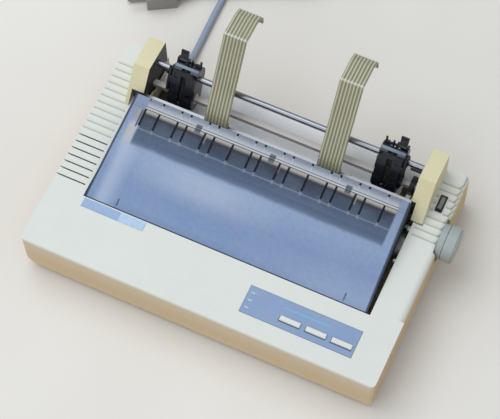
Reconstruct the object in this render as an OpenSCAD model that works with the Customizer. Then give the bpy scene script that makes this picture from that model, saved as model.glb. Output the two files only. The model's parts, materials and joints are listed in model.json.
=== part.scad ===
// Compact dot matrix printer with a smoked hinged cover, push tractors and paper arms.
// Construction frame: X is the middle of the cover opening, +X to the operator's right,
// Y = 0 at the front of the casing, Z = 0 on the table. place() moves that frame so that
// the middle of the underside of the whole printer is the origin.

/* [Casing] */
// Width of the casing
casing_w = 372; // [366:1:380]
// Depth of the casing, front to back
casing_d = 240; // [238:1:246]
// Height of the deck above the table
deck_h = 57; // [55:0.5:60]
// Height of the rubber feet
foot_h = 6; // [4:0.5:7]
// Height of the band that the lower casing shows
band_h = 10; // [8:0.5:12]
// Wall thickness of both casings
wall = 2.5; // [2:0.1:3]
// Depth of the opening that the cover closes
opening_d = 164.5; // [163:0.5:167]
// Width of the deck strip on the left
left_strip = 35.5; // [34:0.5:38]
// Width of the deck strip on the right
right_strip = 32.5; // [31:0.5:36]
// Plan radius of the casing's corners
corner_r = 5; // [3:0.5:8]
// Spacing of the louvres and ridges on the side strips
ridge_pitch = 8; // [7:0.1:8.2]
// Radius of the rounded edge along the right strip
edge_round = 7; // [5:0.5:9]
// Rounding of the front edge of the deck
front_round = 2.5; // [1:0.5:4]

/* [Cover] */
// Thickness of the smoked cover
cover_t = 2.5; // [2:0.1:3]
// Height that the cover gains from its front to its rear edge
cover_rise = 22.8; // [21:0.2:24]
// Width that the cover loses at each side towards the rear
cover_taper = 3.2; // [2:0.1:4]
// Gap between the cover and each side of its opening
cover_gap = 2.2; // [1.6:0.1:3]
// Thickness of the ribs under the cover's rear band
rib_t = 1.2; // [0.8:0.1:1.6]
// Radius of the cover's hinge pins
hinge_pin_r = 1.5; // [1.2:0.1:1.8]

/* [Controls] */
// Width of the control panel plate
panel_w = 116; // [112:1:120]
// Depth of the control panel plate
panel_d = 29.5; // [27:0.5:32]
// Length of a button
button_w = 20.8; // [18:0.2:22]
// Depth of a button
button_d = 5; // [4:0.2:6]
// Travel of a button
button_travel = 1.2; // [0.8:0.1:1.6]

/* [Paper feed] */
// Radius of the rubber platen
platen_r = 13.2; // [12.5:0.1:13.4]
// Radius of the platen's steel shaft
platen_shaft_r = 3; // [2.5:0.1:3.4]
// Distance of the platen's axis behind the front deck
platen_back = 104; // [103:0.5:106]
// Radius of the platen knob
knob_r = 18.2; // [16:0.2:19]
// Length of the platen knob
knob_len = 11.2; // [9:0.2:13]
// Radius of the round tractor shaft
round_shaft_r = 3; // [2.5:0.1:3.4]
// Width across the flats of the square tractor shaft
square_w = 6; // [5:0.1:6.4]
// Gear module
gear_m = 1; // [0.98:0.01:1.02]

/* [Tractors] */
// Width of a tractor
tractor_w = 26; // [24:0.5:31]
// Distance of the left tractor's middle in from the end of the platen
tractor_left_in = 16; // [15:0.5:19]
// Distance of the right tractor's middle in from the end of the platen
tractor_right_in = 16; // [15:0.5:19]
// Spacing of the pins on a tractor belt
pin_pitch = 12.7; // [12.5:0.05:12.8]
// Thickness of a tractor door
door_t = 2.6; // [2:0.1:3]
// Length of a tractor door along the belt
door_len = 26.5; // [24:0.5:26.5]
// Height of the end caps above the deck
cap_h = 37.2; // [35:0.5:40]
// Width of an end cap
cap_w = 17; // [15:0.5:19]

/* [Paper arms] */
// Width of a paper arm
arm_w = 24; // [20:0.5:26]
// Thickness of a paper arm
arm_t = 2.2; // [1.8:0.1:2.8]
// Number of ribs on each arm
arm_ribs = 7; // [5:1:8]

/* [Carriage] */
// Radius of the guide shaft that the carriage runs on
guide_r = 4; // [3:0.1:4.4]
// Gap between the parked ribbon cartridge and the left side plate
park_gap = 8; // [7:0.5:16]
// Pitch radius of the belt pulleys
pulley_r = 7; // [6:0.1:7.5]

/* [Mains lead] */
// Diameter of the mains lead
lead_d = 7; // [6:0.5:7]
// Diameter of the coil at the middle of its turns
coil_d = 84; // [80:1:84]

/* [Hidden] */
$fn = 48;
fit = 0.05;
gap = 0.3;

// Casing
half_open = (casing_w - left_strip - right_strip) / 2;
x_right = half_open + right_strip;
x_left = -half_open - left_strip;
floor_z = foot_h + wall;
seam_z = foot_h + band_h;
deck_under = deck_h - wall;
rim_h = 6;
rim_t = 2;
rear_step = 7;
rear_wall_y = casing_d - rear_step;
front_deck = rear_wall_y - wall - opening_d;
rear_wall_z = deck_h - 7;
step_half = half_open - 8.5;
chamfer_left = 12.5;
chamfer_right = 4.5;
boss_r = 4.5;
screw_r = 1.5;
screw_head = [3, 2.4];
screw_inset = [22, 15];
foot_r = 8;
foot_inset = [30, 34];

// Louvres and ridges on the side strips
louvre_y = front_deck + 11.5;
louvre_count = 7;
louvre_w = 1.5;
strip_left = -half_open - 3.5;
strip_right = half_open + 2.5;
ridge_depth = 1.3;
left_ridges = 11;
right_ridges = 9;
right_ridge_y = front_deck + 93;

// Platen
platen = [front_deck + platen_back, deck_h - 10.5];
knob_x = x_right + 3.9;
recess_r = knob_r + 3.2;
recess_depth = 3.5;
knob_back = x_right - recess_depth + 0.7;
knob_flats = 14;

// Side plates of the mechanism stand just outside the gears
plate_t = 2;
plate_x = half_open - 12;
gear_w = 4.5;
gear_x = plate_x - 1 - gear_w;
platen_half = gear_x - 8.5;
plate_front = front_deck + 8;
plate_rear = rear_wall_y - wall - 3.5;
plate_top = deck_h - 6.5;

// Gear train: platen, idler, tractor shaft and motor pinion
platen_teeth = 30;
idler_teeth = 16;
tractor_teeth = 18;
pinion_teeth = 12;
mesh_gap = 0.08;
function pitch_r(teeth) = gear_m * teeth / 2;
square_axis = [platen[0] + 36.5, platen[1] + 13.5];
round_axis = square_axis + [11.5, 21.4];
far = norm(square_axis - platen);
near_a = pitch_r(platen_teeth) + pitch_r(idler_teeth) + mesh_gap;
near_b = pitch_r(idler_teeth) + pitch_r(tractor_teeth) + mesh_gap;
far_angle = atan2(square_axis[1] - platen[1], square_axis[0] - platen[0]);
idler_angle = far_angle - acos((near_a * near_a + far * far - near_b * near_b) / (2 * near_a * far));
idler = platen + near_a * [cos(idler_angle), sin(idler_angle)];
idler_out = atan2(square_axis[1] - idler[1], square_axis[0] - idler[0]);
pinion_angle = 223.5;
pinion_reach = pitch_r(platen_teeth) + pitch_r(pinion_teeth) + mesh_gap;
motor_axis = platen + pinion_reach * [cos(pinion_angle), sin(pinion_angle)];
function meshed(angle, tooth, za, zb) = angle + 180 - 180 / zb + (angle - tooth) * za / zb;
idler_tooth = meshed(idler_angle, 0, platen_teeth, idler_teeth);
tractor_tooth = meshed(idler_out, idler_tooth, idler_teeth, tractor_teeth);
pinion_tooth = meshed(pinion_angle, 0, platen_teeth, pinion_teeth);
stud_r = 2;
motor_r = 15.5;
motor_len = 20;
motor_shaft_r = 1.5;

// Cover
cover_y = [front_deck + 1, platen[0] + 9.2];
cover_z = deck_h + 0.3;
cover_shift = -1.2;
cover_half = half_open - cover_gap;
skirt_t = 2.2;
skirt_z = deck_h - 2.5;
hinge = [platen[0] + 6.5, deck_h + 15.5];
ring_r = hinge_pin_r + fit + 1.75;
rib_start = 20 - half_open;
rib_steps = [0, 15, 20, 10, 20, 10, 20, 20, 10, 20, 10, 20, 20, 10, 20, 10, 20];
rib_y = [platen[0] - 20, cover_y[1] - 1.4];
rib_drop = [1.5, 3.2];
cover_slope = cover_rise / (cover_y[1] - cover_y[0]);
function cover_top(y) = cover_z + (y - cover_y[0]) * cover_slope;
function cover_edge(y) = cover_half - (y - cover_y[0]) / (cover_y[1] - cover_y[0]) * cover_taper;
function sum_to(list, i) = i < 0 ? 0 : list[i] + sum_to(list, i - 1);
rib_spread = (2 * half_open - 49) / sum_to(rib_steps, len(rib_steps) - 1);

// Control panel and its parts
panel_corner = [half_open + 1 - panel_w, (front_deck - panel_d) / 2 + 0.25];
panel_sink = 0.6;
panel_t = 0.8;
button_x = [for (x = [49.2, 76, 102.4]) panel_corner[0] + x];
button_y = panel_corner[1] + panel_d / 3;
button_proud = 1.9;
flange = 1.2;
lamp_size = [4.6, 1.9];
lamp_x = panel_corner[0] + 5.4;
lamp_y = panel_corner[1] + panel_d * 0.22;
lamp_pitch = 7.9;
key_board_z = deck_h - 14;
board_t = 1.6;
badge_corner = [2.5 - half_open, front_deck - 10.8];
badge_d = 9.6;
badge_w = [39.6, 27];

// Power switch in the right strip
switch_box = [6.4, 17.6];
switch_at = [x_right - 18.5, platen[0] + 22.4];
switch_rim = [0.5, 0.9];
rocker_axis = [switch_at[1] + switch_box[1] / 2, deck_h - 1.5];
rocker_tilt = 7;
rocker_pin_r = 1;

// Paper chute under the platen
chute_r = platen_r + 2.8;
chute_t = 1.6;
chute_arc = [-150, -38];
chute_rear = [rear_wall_y - wall - 1, rear_wall_z];

// Paper bail
bail_r = 2;
bail_roller_r = 4.3;
bail_reach = platen_r + bail_roller_r + gap;
bail_axis = platen + bail_reach * [cos(70.3), sin(70.3)];
bail_pivot = [platen[0] - 18, deck_h + 1];
bail_pin_r = 1.5;
bail_roller_x = [-79, 0.5, 81];
bail_roller_w = 5;
bail_arm_x = platen_half + 2;
bail_arm_t = 2;

// End caps of the tractor unit, which also carry its two shafts
cap_inner = half_open - 8.5;
cap_t = 2;
cap_ridge = [platen[0] + 31.4, deck_h + cap_h];
cap_rear = [platen[0] + 67.3, deck_h + cap_h - 3.6];
cap_foot_y = platen[0] + 3.4;
notch_y = platen[0] + 15;
notch_left = 13;
notch_right = 5;
bearing = [6, 5];
cap_low = deck_h - 14;
journal_r = square_w / 2 - 0.05;
shaft_end = cap_inner + bearing[1];

// Tractors: u runs up the line from the square to the round shaft, h stands out in front
tractor_left_x = platen_half - tractor_left_in;
tractor_right_x = platen_half - tractor_right_in;
tilt = atan2(round_axis[1] - square_axis[1], round_axis[0] - square_axis[0]);
shaft_gap = norm(round_axis - square_axis);
belt_pins = 8;
belt_r = (belt_pins * pin_pitch - 2 * shaft_gap) / 2 / PI;
belt_t = 1.4;
belt_w = 8;
pin_r = 1.75;
pin_h = 2.6;
drum_r = belt_r - belt_t / 2 - 0.25;
paper_h = belt_r + belt_t / 2 + 0.2;
cheek_r = belt_r + belt_t / 2 + pin_h + 0.7;
hub_r = square_w * 0.75 + 1.2;
channel = belt_w / 2 + 0.7;
door_h = paper_h + 0.7;
door_u = [cheek_r - 3.5 - door_len, cheek_r - 3.5];
guard_u = [2.5 - shaft_gap - cheek_r, door_u[0] - 0.5];
guard_lip = 4.5;
knuckle_r = 1.9;
door_pin_r = 1;
door_axis = [tractor_w / 2 + knuckle_r + 0.4, door_h + 0.1];
knuckle_u = [door_u[0] + 9, door_u[1] - 9];
lever_u = cheek_r + 2.2;
lever_x = tractor_w / 2 - 6;
lever_w = 8;
lever_pin_r = 1.2;
lever_hub_r = 2.2;

// Guide rail and paper arms
rail = [platen[0] + 16.2, deck_h + 5];
rail_size = [3, 3.5];
arm_left_x = -65.3;
arm_right_x = 55.8;
arm_start = [platen[0] + 15.8, deck_h + 12];
arm_bend = [platen[0] + 67, deck_h + 97.3];
arm_shelf = [platen[0] + 92, deck_h + 95.4];
arm_curl = [platen[0] + 100, deck_h + 91.5];
arm_tip = [platen[0] + 104, deck_h + 84];
arm_end_z = deck_h + 77.6;
rib_high = 0.8;

// Carriage
guide = [platen[0] - 42, foot_h + 24];
carriage_half = 22;
cartridge_half = 34;
carriage_park = plate_x - cartridge_half - park_gap;
beam_y = guide[0] - 17;
beam_t = 1.6;
beam_z = guide[1] + 9;
table_z = beam_z + 1.6;
table_t = 3.4;
strap_y = guide[0] - 30;
strap_x = platen_half;
strap_z = [guide[1], guide[1] + 6];
strap_t = 1.4;
strap_r = pulley_r - strap_t / 2 - 0.2;
drive_r = 12.5;
bracket_z = strap_z[0] - 1.6;

// Boards, transformer and socket
board_low = [-118, 14];
board_high = [64, front_deck + 8];
board_z = floor_z + 5;
post_r = 3;
transformer_at = [x_left + 14, platen[0] - 16];
transformer_size = [28, 52, 36];
socket_x = 70;
socket_w = 60;
socket_z = [foot_h + 13, foot_h + 28];

// Mains lead: it leaves the rear on the left, runs back and is wound in a round coil
lead_r = lead_d / 2;
gland = [7.5 - step_half, foot_h + 7];
gland_len = 24;
seat_r = lead_r + 2.8;
coil_bundle = [26, 14.2];
plug_at = [-185, 337.5];
plug_turn = 30;
plug_z = 10;
lead_out = [[-136, 224, 13], [-136, 240, 13], [-136, 256, 12.9], [-136.1, 262, 12.3], [-136.2, 268, 10.6],
    [-136.3, 273, 8.2], [-136.4, 278, 5.9], [-136.6, 284, 4.1], [-136.9, 291, 3.5], [-137.4, 306, 3.5],
    [-138, 324, 3.5], [-138.4, 342, 3.5], [-138.5, 360, 3.5], [-138.5, 378, 3.5], [-138.5, 396, 3.5],
    [-138.5, 412, 3.5], [-138.5, 428, 3.5], [-138.5, 444, 3.5]];
lead_back = [[-65, 397.6, 10.5], [-80, 390.5, 9.8], [-97, 382.3, 9.3], [-114, 374.1, 9.5],
    [-127, 367.7, 10.2], [-138.5, 361.9, 10.6], [-152, 355.3, 10.3], [-167.7, 347.3, 10],
    [-180, 340.4, 10]];
coil_at = [lead_out[17][0] + coil_d / 2 + coil_bundle[0] / 2 - lead_r, lead_out[17][1]];

// The whole printer's box is centred on the origin
origin_x = (x_left + knob_x + knob_len) / 2;
origin_y = (arm_tip[0] + arm_t / 2) / 2;

// ---------- helpers ----------
module place() {
    translate([-origin_x, -origin_y, 0])
        children();
}

// A 2D outline in (Y, Z) extruded along X
module yz(x0, x1) {
    translate([x0, 0, 0])
        rotate([90, 0, 90])
            linear_extrude(x1 - x0)
                children();
}

// A 2D outline in (X, Z) extruded along Y
module xz(y0, y1) {
    translate([0, y1, 0])
        rotate([90, 0, 0])
            linear_extrude(y1 - y0)
                children();
}

module block(low, high) {
    translate(low)
        cube(high - low);
}

module rod(x0, x1, at, r) {
    translate([x0, at[0], at[1]])
        rotate([0, 90, 0])
            cylinder(r = r, h = x1 - x0);
}

module rounded_rect(low, high, r) {
    translate([low[0] + r, low[1]])
        square([high[0] - low[0] - 2 * r, high[1] - low[1]]);
    translate([low[0], low[1] + r])
        square([high[0] - low[0], high[1] - low[1] - 2 * r]);
    for (x = [low[0] + r, high[0] - r])
        for (y = [low[1] + r, high[1] - r])
            translate([x, y])
                circle(r);
}

module each_side() {
    for (side = [0, 1])
        mirror([side, 0, 0])
            children();
}

module corners(inset) {
    for (x = [x_left + inset[0], x_right - inset[0]])
        for (y = [inset[1], casing_d - inset[1]])
            translate([x, y, 0])
                children();
}

// Plan of the casing, set in from its outside; the rear wall steps forward between the caps
module plan(inset) {
    difference() {
        rounded_rect([x_left + inset, inset], [x_right - inset, casing_d - inset],
            max(corner_r - inset, 0.4));
        translate([-step_half - inset, rear_wall_y - inset])
            square([2 * (step_half + inset), rear_step + 1]);
    }
}

// Involute spur gear outline with a little backlash; the first tooth points along the tooth angle
function involute(a) = tan(a) * 180 / PI - a;
function flank(r, teeth) = let (base = pitch_r(teeth) * cos(20))
    90 / teeth + involute(20) - involute(acos(min(1, base / r))) - 2.6 / pitch_r(teeth);

module gear2d(teeth, tooth) {
    root = pitch_r(teeth) - 1.2 * gear_m;
    tip = pitch_r(teeth) + 0.8 * gear_m;
    foot = max(root + 0.01, pitch_r(teeth) * cos(20) + 0.01);
    rs = [root, for (k = [0:4]) foot + (tip - foot) * k / 4];
    polygon([for (t = [0:teeth - 1])
        for (side = [-1, 1])
            for (k = [0:5])
                let (i = side < 0 ? k : 5 - k)
                let (a = tooth + t * 360 / teeth + side * flank(max(rs[i], foot), teeth))
                rs[i] * [cos(a), sin(a)]]);
}

module gear(at, teeth, tooth) {
    yz(gear_x, gear_x + gear_w)
        translate(at)
            gear2d(teeth, tooth);
}

// ---------- casing ----------
module saw(x0, x1, y0, count) {
    for (k = [0:count - 1])
        yz(x0, x1)
            polygon([[y0 + k * ridge_pitch, deck_h + 1], [y0 + k * ridge_pitch, deck_h - ridge_depth],
                [y0 + (k + 1) * ridge_pitch - 0.8, deck_h + 0.01],
                [y0 + (k + 1) * ridge_pitch - 0.8, deck_h + 1]]);
}

module ridges() {
    difference() {
        union() {
            saw(x_left - 1, strip_left, louvre_y + louvre_count * ridge_pitch, left_ridges);
            saw(strip_right, x_right - edge_round + 0.01, right_ridge_y, right_ridges);
            for (k = [0:right_ridges - 1])
                edge_step(right_ridge_y + k * ridge_pitch);
        }
        each_side()
            block([cap_inner, cap_foot_y, deck_h - 5], [cap_inner + cap_w + 0.6, casing_d, deck_h + 5]);
        block([switch_at[0] - 2, switch_at[1] - 2, deck_h - 5],
            [switch_at[0] + switch_box[0] + 2, switch_at[1] + switch_box[1] + 2, deck_h + 5]);
    }
}

// One ridge carried over the rounded right edge and down the side
module edge_step(y) {
    top = ridge_pitch - 0.8;
    difference() {
        block([x_right - edge_round, y, deck_h - edge_round], [x_right + 1, y + top, deck_h + 1]);
        translate([x_right - edge_round, y - 1, deck_h - edge_round])
            rotate([-90, 0, 0])
                cylinder(r1 = edge_round - ridge_depth - ridge_depth / top,
                    r2 = edge_round + 0.01 + ridge_depth / top, h = top + 2);
    }
    translate([0, 0, deck_h - edge_round - 16])
        linear_extrude(16)
            polygon([[x_right + 1, y], [x_right - ridge_depth, y], [x_right + 0.01, y + top],
                [x_right + 1, y + top]]);
}

module upper_shell() {
    difference() {
        translate([0, 0, seam_z])
            linear_extrude(deck_h - seam_z)
                plan(0);
        difference() {
            translate([0, 0, seam_z - 1])
                linear_extrude(deck_under - seam_z + 1)
                    plan(wall);
            xz(0, casing_d)
                polygon([[x_right - wall - edge_round * 0.8, deck_under + 1], [x_right, deck_under + 1],
                    [x_right, deck_under - edge_round * 0.8]]);
        }
        xz(front_deck + 6, casing_d + 1)
            difference() {
                translate([x_right - edge_round, deck_h - edge_round])
                    square(edge_round + 1);
                translate([x_right - edge_round, deck_h - edge_round])
                    circle(edge_round);
            }
        yz(x_left - 1, x_right + 1)
            difference() {
                translate([-1, deck_h - front_round])
                    square(front_round + 1);
                translate([front_round, deck_h - front_round])
                    circle(front_round);
            }
    }
    // rim that stiffens the opening
    difference() {
        block([-half_open - rim_t, front_deck - rim_t, deck_h - rim_h],
            [half_open + rim_t, rear_wall_y - wall, deck_h - 1]);
        block([-half_open, front_deck, 0], [half_open, casing_d, deck_h + 1]);
    }
    // thick wall behind the knob
    block([x_right - recess_depth - 2.5, platen[0] - recess_r - 3, platen[1] - recess_r - 3],
        [x_right - 1, platen[0] + recess_r + 3, deck_h - edge_round]);
    block([x_right - recess_depth - 2.5, platen[0] - recess_r - 3, platen[1]],
        [x_right - recess_depth, platen[0] + recess_r + 3, deck_h - 2]);
    corners(screw_inset)
        translate([0, 0, seam_z])
            cylinder(r = boss_r, h = deck_under - seam_z + 1);
    for (x = [29, 62.6, 89.2])
        translate([panel_corner[0] + x, button_y + 8, key_board_z + board_t])
            cylinder(r = 2.5, h = deck_under - key_board_z - board_t + 1);
}

module upper_casing() {
    place()
        color([0.87, 0.85, 0.78])
            difference() {
                upper_shell();
                block([-half_open, front_deck, deck_h - rim_h - 1],
                    [half_open, rear_wall_y - wall, deck_h + 1]);
                block([-step_half, rear_wall_y - wall - 1, rear_wall_z],
                    [step_half, casing_d + 1, deck_h + 1]);
                rod(x_right - recess_depth, x_right + 1, platen, recess_r);
                rod(x_right - 10, x_right + 1, platen, platen_shaft_r + 1);
                block([panel_corner[0], panel_corner[1], deck_h - panel_sink],
                    [panel_corner[0] + panel_w, panel_corner[1] + panel_d, deck_h + 1]);
                block([badge_corner[0], badge_corner[1], deck_h - panel_sink],
                    [badge_corner[0] + badge_w[0] + badge_w[1] + 0.2, badge_corner[1] + badge_d,
                        deck_h + 1]);
                key_holes(deck_under - 1, deck_h + 1);
                block([switch_at[0], switch_at[1], deck_h - 10],
                    [switch_at[0] + switch_box[0], switch_at[1] + switch_box[1], deck_h + 1]);
                for (k = [0:louvre_count - 1])
                    block([x_left - 1, louvre_y + k * ridge_pitch - louvre_w / 2, deck_under - 0.6],
                        [strip_left, louvre_y + k * ridge_pitch + louvre_w / 2, deck_h + 1]);
                ridges();
                corners(screw_inset)
                    translate([0, 0, seam_z - 1])
                        cylinder(r = screw_r, h = 18);
                gland_hole();
                block([socket_x - socket_w / 2, rear_wall_y - wall - 1, socket_z[0]],
                    [socket_x + socket_w / 2, casing_d, socket_z[1]]);
            }
}

module key_holes(z0, z1) {
    for (x = button_x)
        block([x - button_w / 2 - gap, button_y - button_d / 2 - gap, z0],
            [x + button_w / 2 + gap, button_y + button_d / 2 + gap, z1]);
    for (k = [0:2])
        block([lamp_x - lamp_size[0] / 2, lamp_y + k * lamp_pitch - lamp_size[1] / 2, z0],
            [lamp_x + lamp_size[0] / 2, lamp_y + k * lamp_pitch + lamp_size[1] / 2, z1]);
}

module gland_hole() {
    translate([gland[0], casing_d, gland[1]])
        rotate([90, 0, 0])
            cylinder(r = lead_r + 2, h = rear_step + wall + 4);
}

module base_shape(inset) {
    intersection() {
        linear_extrude(seam_z + inset)
            plan(inset);
        xz(-1, casing_d + 1)
            offset(delta = -inset)
                polygon([[x_left, seam_z + 20], [x_left, seam_z], [x_left + chamfer_left, foot_h],
                    [x_right - chamfer_right, foot_h], [x_right, foot_h + chamfer_right],
                    [x_right, seam_z + 20]]);
    }
}

module lower_casing() {
    place()
        color([0.8, 0.77, 0.68])
            difference() {
                union() {
                    difference() {
                        base_shape(0);
                        base_shape(wall);
                    }
                    translate([0, 0, seam_z - 1.5])
                        linear_extrude(3.5)
                            difference() {
                                plan(wall + 0.2);
                                plan(wall + 1.7);
                            }
                    corners(screw_inset)
                        translate([0, 0, foot_h + 1])
                            cylinder(r = boss_r, h = band_h - 1.1);
                    for (x = [board_low[0] + 6, board_high[0] - 6])
                        for (y = [board_low[1] + 5, board_high[1] - 5])
                            translate([x, y, foot_h + 1])
                                cylinder(r = post_r, h = board_z - foot_h - 1);
                }
                corners(screw_inset) {
                    translate([0, 0, foot_h - 1])
                        cylinder(r = screw_head[0] + 0.3, h = 1 + 0.6 + screw_head[1]);
                    translate([0, 0, foot_h - 1])
                        cylinder(r = screw_r + 0.1, h = band_h + 2);
                }
                corners(foot_inset)
                    translate([0, 0, foot_h - 1])
                        cylinder(r = 2.5, h = wall + 2);
                gland_hole();
                block([gland[0] - seat_r - gap, rear_wall_y - wall - 4, seam_z - 2],
                    [gland[0] + seat_r + gap, rear_wall_y - wall, seam_z + 4]);
                for (k = [0:7])
                    block([-70 + k * 14, 130, foot_h - 1], [-66 + k * 14, 180, floor_z + 1]);
            }
}

module rubber_feet() {
    place()
        color([0.16, 0.16, 0.17])
            corners(foot_inset) {
                cylinder(r1 = foot_r - 1, r2 = foot_r, h = foot_h);
                cylinder(r = 2.5, h = foot_h + wall + 0.8);
                translate([0, 0, foot_h + wall])
                    cylinder(r1 = 3.3, r2 = 2, h = 1.6);
            }
}

module casing_screws() {
    place()
        color([0.6, 0.6, 0.58])
            corners(screw_inset) {
                difference() {
                    translate([0, 0, foot_h + 0.6])
                        cylinder(r = screw_head[0], h = screw_head[1]);
                    translate([-2.2, -0.4, foot_h])
                        cube([4.4, 0.8, 1.4]);
                    translate([-0.4, -2.2, foot_h])
                        cube([0.8, 4.4, 1.4]);
                }
                translate([0, 0, foot_h + 1.6])
                    cylinder(r = screw_r, h = seam_z - foot_h + 12);
            }
}

// ---------- smoked cover ----------
module cover_plan(inset0, inset1) {
    polygon([[-cover_edge(cover_y[0]) + inset0, cover_y[0]], [cover_edge(cover_y[0]) - inset0, cover_y[0]],
        [cover_edge(cover_y[1]) - inset1, cover_y[1]], [-cover_edge(cover_y[1]) + inset1, cover_y[1]]]);
}

module cover_side(low, high) {
    yz(-half_open, half_open)
        polygon([[cover_y[0], low[0]], [cover_y[1], low[1]], [cover_y[1], high[1]], [cover_y[0], high[0]]]);
}

module access_cover() {
    front = cover_top(cover_y[0]);
    rear = cover_top(cover_y[1]);
    place()
        color([0.55, 0.63, 0.76, 0.6])
            translate([cover_shift, 0, 0]) {
                intersection() {
                    linear_extrude(200)
                        cover_plan(0, 0);
                    cover_side([front - cover_t, rear - cover_t], [front, rear]);
                }
                intersection() {
                    linear_extrude(200)
                        difference() {
                            cover_plan(0, 0);
                            translate([0, -1])
                                cover_plan(skirt_t, skirt_t);
                            translate([0, 1])
                                cover_plan(skirt_t, skirt_t);
                        }
                    cover_side([skirt_z, skirt_z], [front - 1, rear - 1]);
                }
                for (i = [0:len(rib_steps) - 1])
                    yz(rib_start - cover_shift + sum_to(rib_steps, i) * rib_spread - rib_t / 2,
                        rib_start - cover_shift + sum_to(rib_steps, i) * rib_spread + rib_t / 2)
                        polygon([[rib_y[0], cover_top(rib_y[0]) - cover_t + 0.5],
                            [rib_y[0], cover_top(rib_y[0]) - cover_t - rib_drop[0]],
                            [rib_y[1], cover_top(rib_y[1]) - cover_t - rib_drop[1]],
                            [rib_y[1], cover_top(rib_y[1]) - cover_t + 0.5]]);
                each_side()
                    rod(plate_x - 0.4 + abs(cover_shift), cover_edge(hinge[0]) - 1, hinge, hinge_pin_r);
            }
}

// ---------- control panel ----------
module control_panel() {
    place()
        color([0.53, 0.63, 0.8])
            difference() {
                block([panel_corner[0] + 0.1, panel_corner[1] + 0.1, deck_h - panel_sink],
                    [panel_corner[0] + panel_w - 0.1, panel_corner[1] + panel_d - 0.1,
                    deck_h - panel_sink + panel_t]);
                key_holes(deck_h - 5, deck_h + 1);
            }
}

module button(x) {
    place()
        color([0.93, 0.94, 0.93]) {
            block([x - button_w / 2, button_y - button_d / 2, deck_under - 4],
                [x + button_w / 2, button_y + button_d / 2, deck_h + button_proud - 0.5]);
            block([x - button_w / 2 + 0.5, button_y - button_d / 2 + 0.5, deck_h],
                [x + button_w / 2 - 0.5, button_y + button_d / 2 - 0.5, deck_h + button_proud]);
            block([x - button_w / 2 - flange, button_y - button_d / 2 - flange, deck_under - 0.2 - flange],
                [x + button_w / 2 + flange, button_y + button_d / 2 + flange, deck_under - 0.2]);
        }
}

module button_1() {
    button(button_x[0]);
}

module button_2() {
    button(button_x[1]);
}

module button_3() {
    button(button_x[2]);
}

module status_lamps() {
    place()
        color([0.4, 0.75, 0.5])
            for (k = [0:2])
                block([lamp_x - lamp_size[0] / 2 + 0.1, lamp_y + k * lamp_pitch - lamp_size[1] / 2 + 0.1,
                    key_board_z + board_t],
                    [lamp_x + lamp_size[0] / 2 - 0.1, lamp_y + k * lamp_pitch + lamp_size[1] / 2 - 0.1,
                    deck_h + 0.5]);
}

module badge_plates() {
    place()
        color([0.5, 0.62, 0.78])
            for (k = [0, 1])
                block([badge_corner[0] + 0.1 + k * badge_w[0], badge_corner[1] + 0.1, deck_h - panel_sink],
                    [badge_corner[0] + badge_w[0] + k * badge_w[1], badge_corner[1] + badge_d - 0.1,
                    deck_h - panel_sink + panel_t + 0.2]);
}

// ---------- frame of the mechanism ----------
module side_plate_shape() {
    difference() {
        union() {
            polygon([[plate_front, floor_z], [plate_front, plate_top], [bail_pivot[0] - 10, plate_top],
                [bail_pivot[0] - 5, bail_pivot[1] + 4.5], [bail_pivot[0] + 5, bail_pivot[1] + 4.5],
                [hinge[0] - ring_r, hinge[1]], [hinge[0] + ring_r, hinge[1]],
                [hinge[0] + 3.5, deck_h + 1], [idler[0] + 5, idler[1] + 5.5],
                [idler[0] + 11, plate_top], [plate_rear, plate_top], [plate_rear, floor_z]]);
            translate(hinge)
                circle(ring_r);
        }
        translate(platen)
            circle(platen_shaft_r + fit);
        translate(hinge)
            circle(hinge_pin_r + fit);
        translate(bail_pivot)
            circle(bail_pin_r + fit);
        translate(guide)
            circle(guide_r);
        translate(motor_axis)
            circle(3.5);
        translate([plate_front + 8, floor_z + 14])
            square([26, 14]);
        translate([platen[0] + 22, floor_z + 8])
            square([28, 16]);
    }
}

module side_plate() {
    yz(plate_x, plate_x + plate_t)
        side_plate_shape();
    for (y = [plate_front + 2, platen[0] + 34])
        difference() {
            block([plate_x - 9, y, floor_z], [plate_x + 1, y + 12, floor_z + plate_t]);
            translate([plate_x - 5, y + 6, floor_z - 1])
                cylinder(r = 1.6, h = 5);
        }
}

module side_plate_left() {
    place()
        color([0.82, 0.8, 0.72])
            mirror([1, 0, 0])
                side_plate();
}

module side_plate_right() {
    place()
        color([0.82, 0.8, 0.72]) {
            side_plate();
            rod(gear_x - 0.5, plate_x + 0.5, idler, stud_r);
        }
}

module cross_beam() {
    place()
        color([0.7, 0.71, 0.7]) {
            block([-plate_x, beam_y, floor_z + 2], [plate_x, beam_y + beam_t, beam_z]);
            block([-plate_x, beam_y, floor_z + 2], [plate_x, beam_y + 9, floor_z + 3.6]);
            difference() {
                block([-plate_x, strap_y - 12, bracket_z - 1.6], [-strap_x + 13, beam_y + 0.5, bracket_z]);
                translate([-strap_x, strap_y, bracket_z - 3])
                    cylinder(r = 3, h = 5);
            }
            block([strap_x - 10, strap_y - 9, bracket_z - 1.6], [plate_x, beam_y + 0.5, bracket_z]);
            translate([strap_x, strap_y, bracket_z - 1])
                cylinder(r = stud_r, h = strap_z[1] - bracket_z + 2.2);
        }
}

// ---------- platen and its gears ----------
module platen_roller() {
    place()
        color([0.15, 0.15, 0.16])
            difference() {
                rod(-platen_half, platen_half, platen, platen_r);
                rod(-platen_half - 1, platen_half + 1, platen, platen_shaft_r);
            }
}

module platen_shaft() {
    place()
        color([0.75, 0.76, 0.77])
            rod(-plate_x - plate_t - 3, knob_x + knob_len - 3, platen, platen_shaft_r);
}

module platen_gear() {
    place()
        color([0.9, 0.89, 0.84])
            difference() {
                union() {
                    gear(platen, platen_teeth, 0);
                    rod(platen_half, gear_x + 0.1, platen, 6);
                }
                rod(platen_half - 1, plate_x + 1, platen, platen_shaft_r);
            }
}

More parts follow.
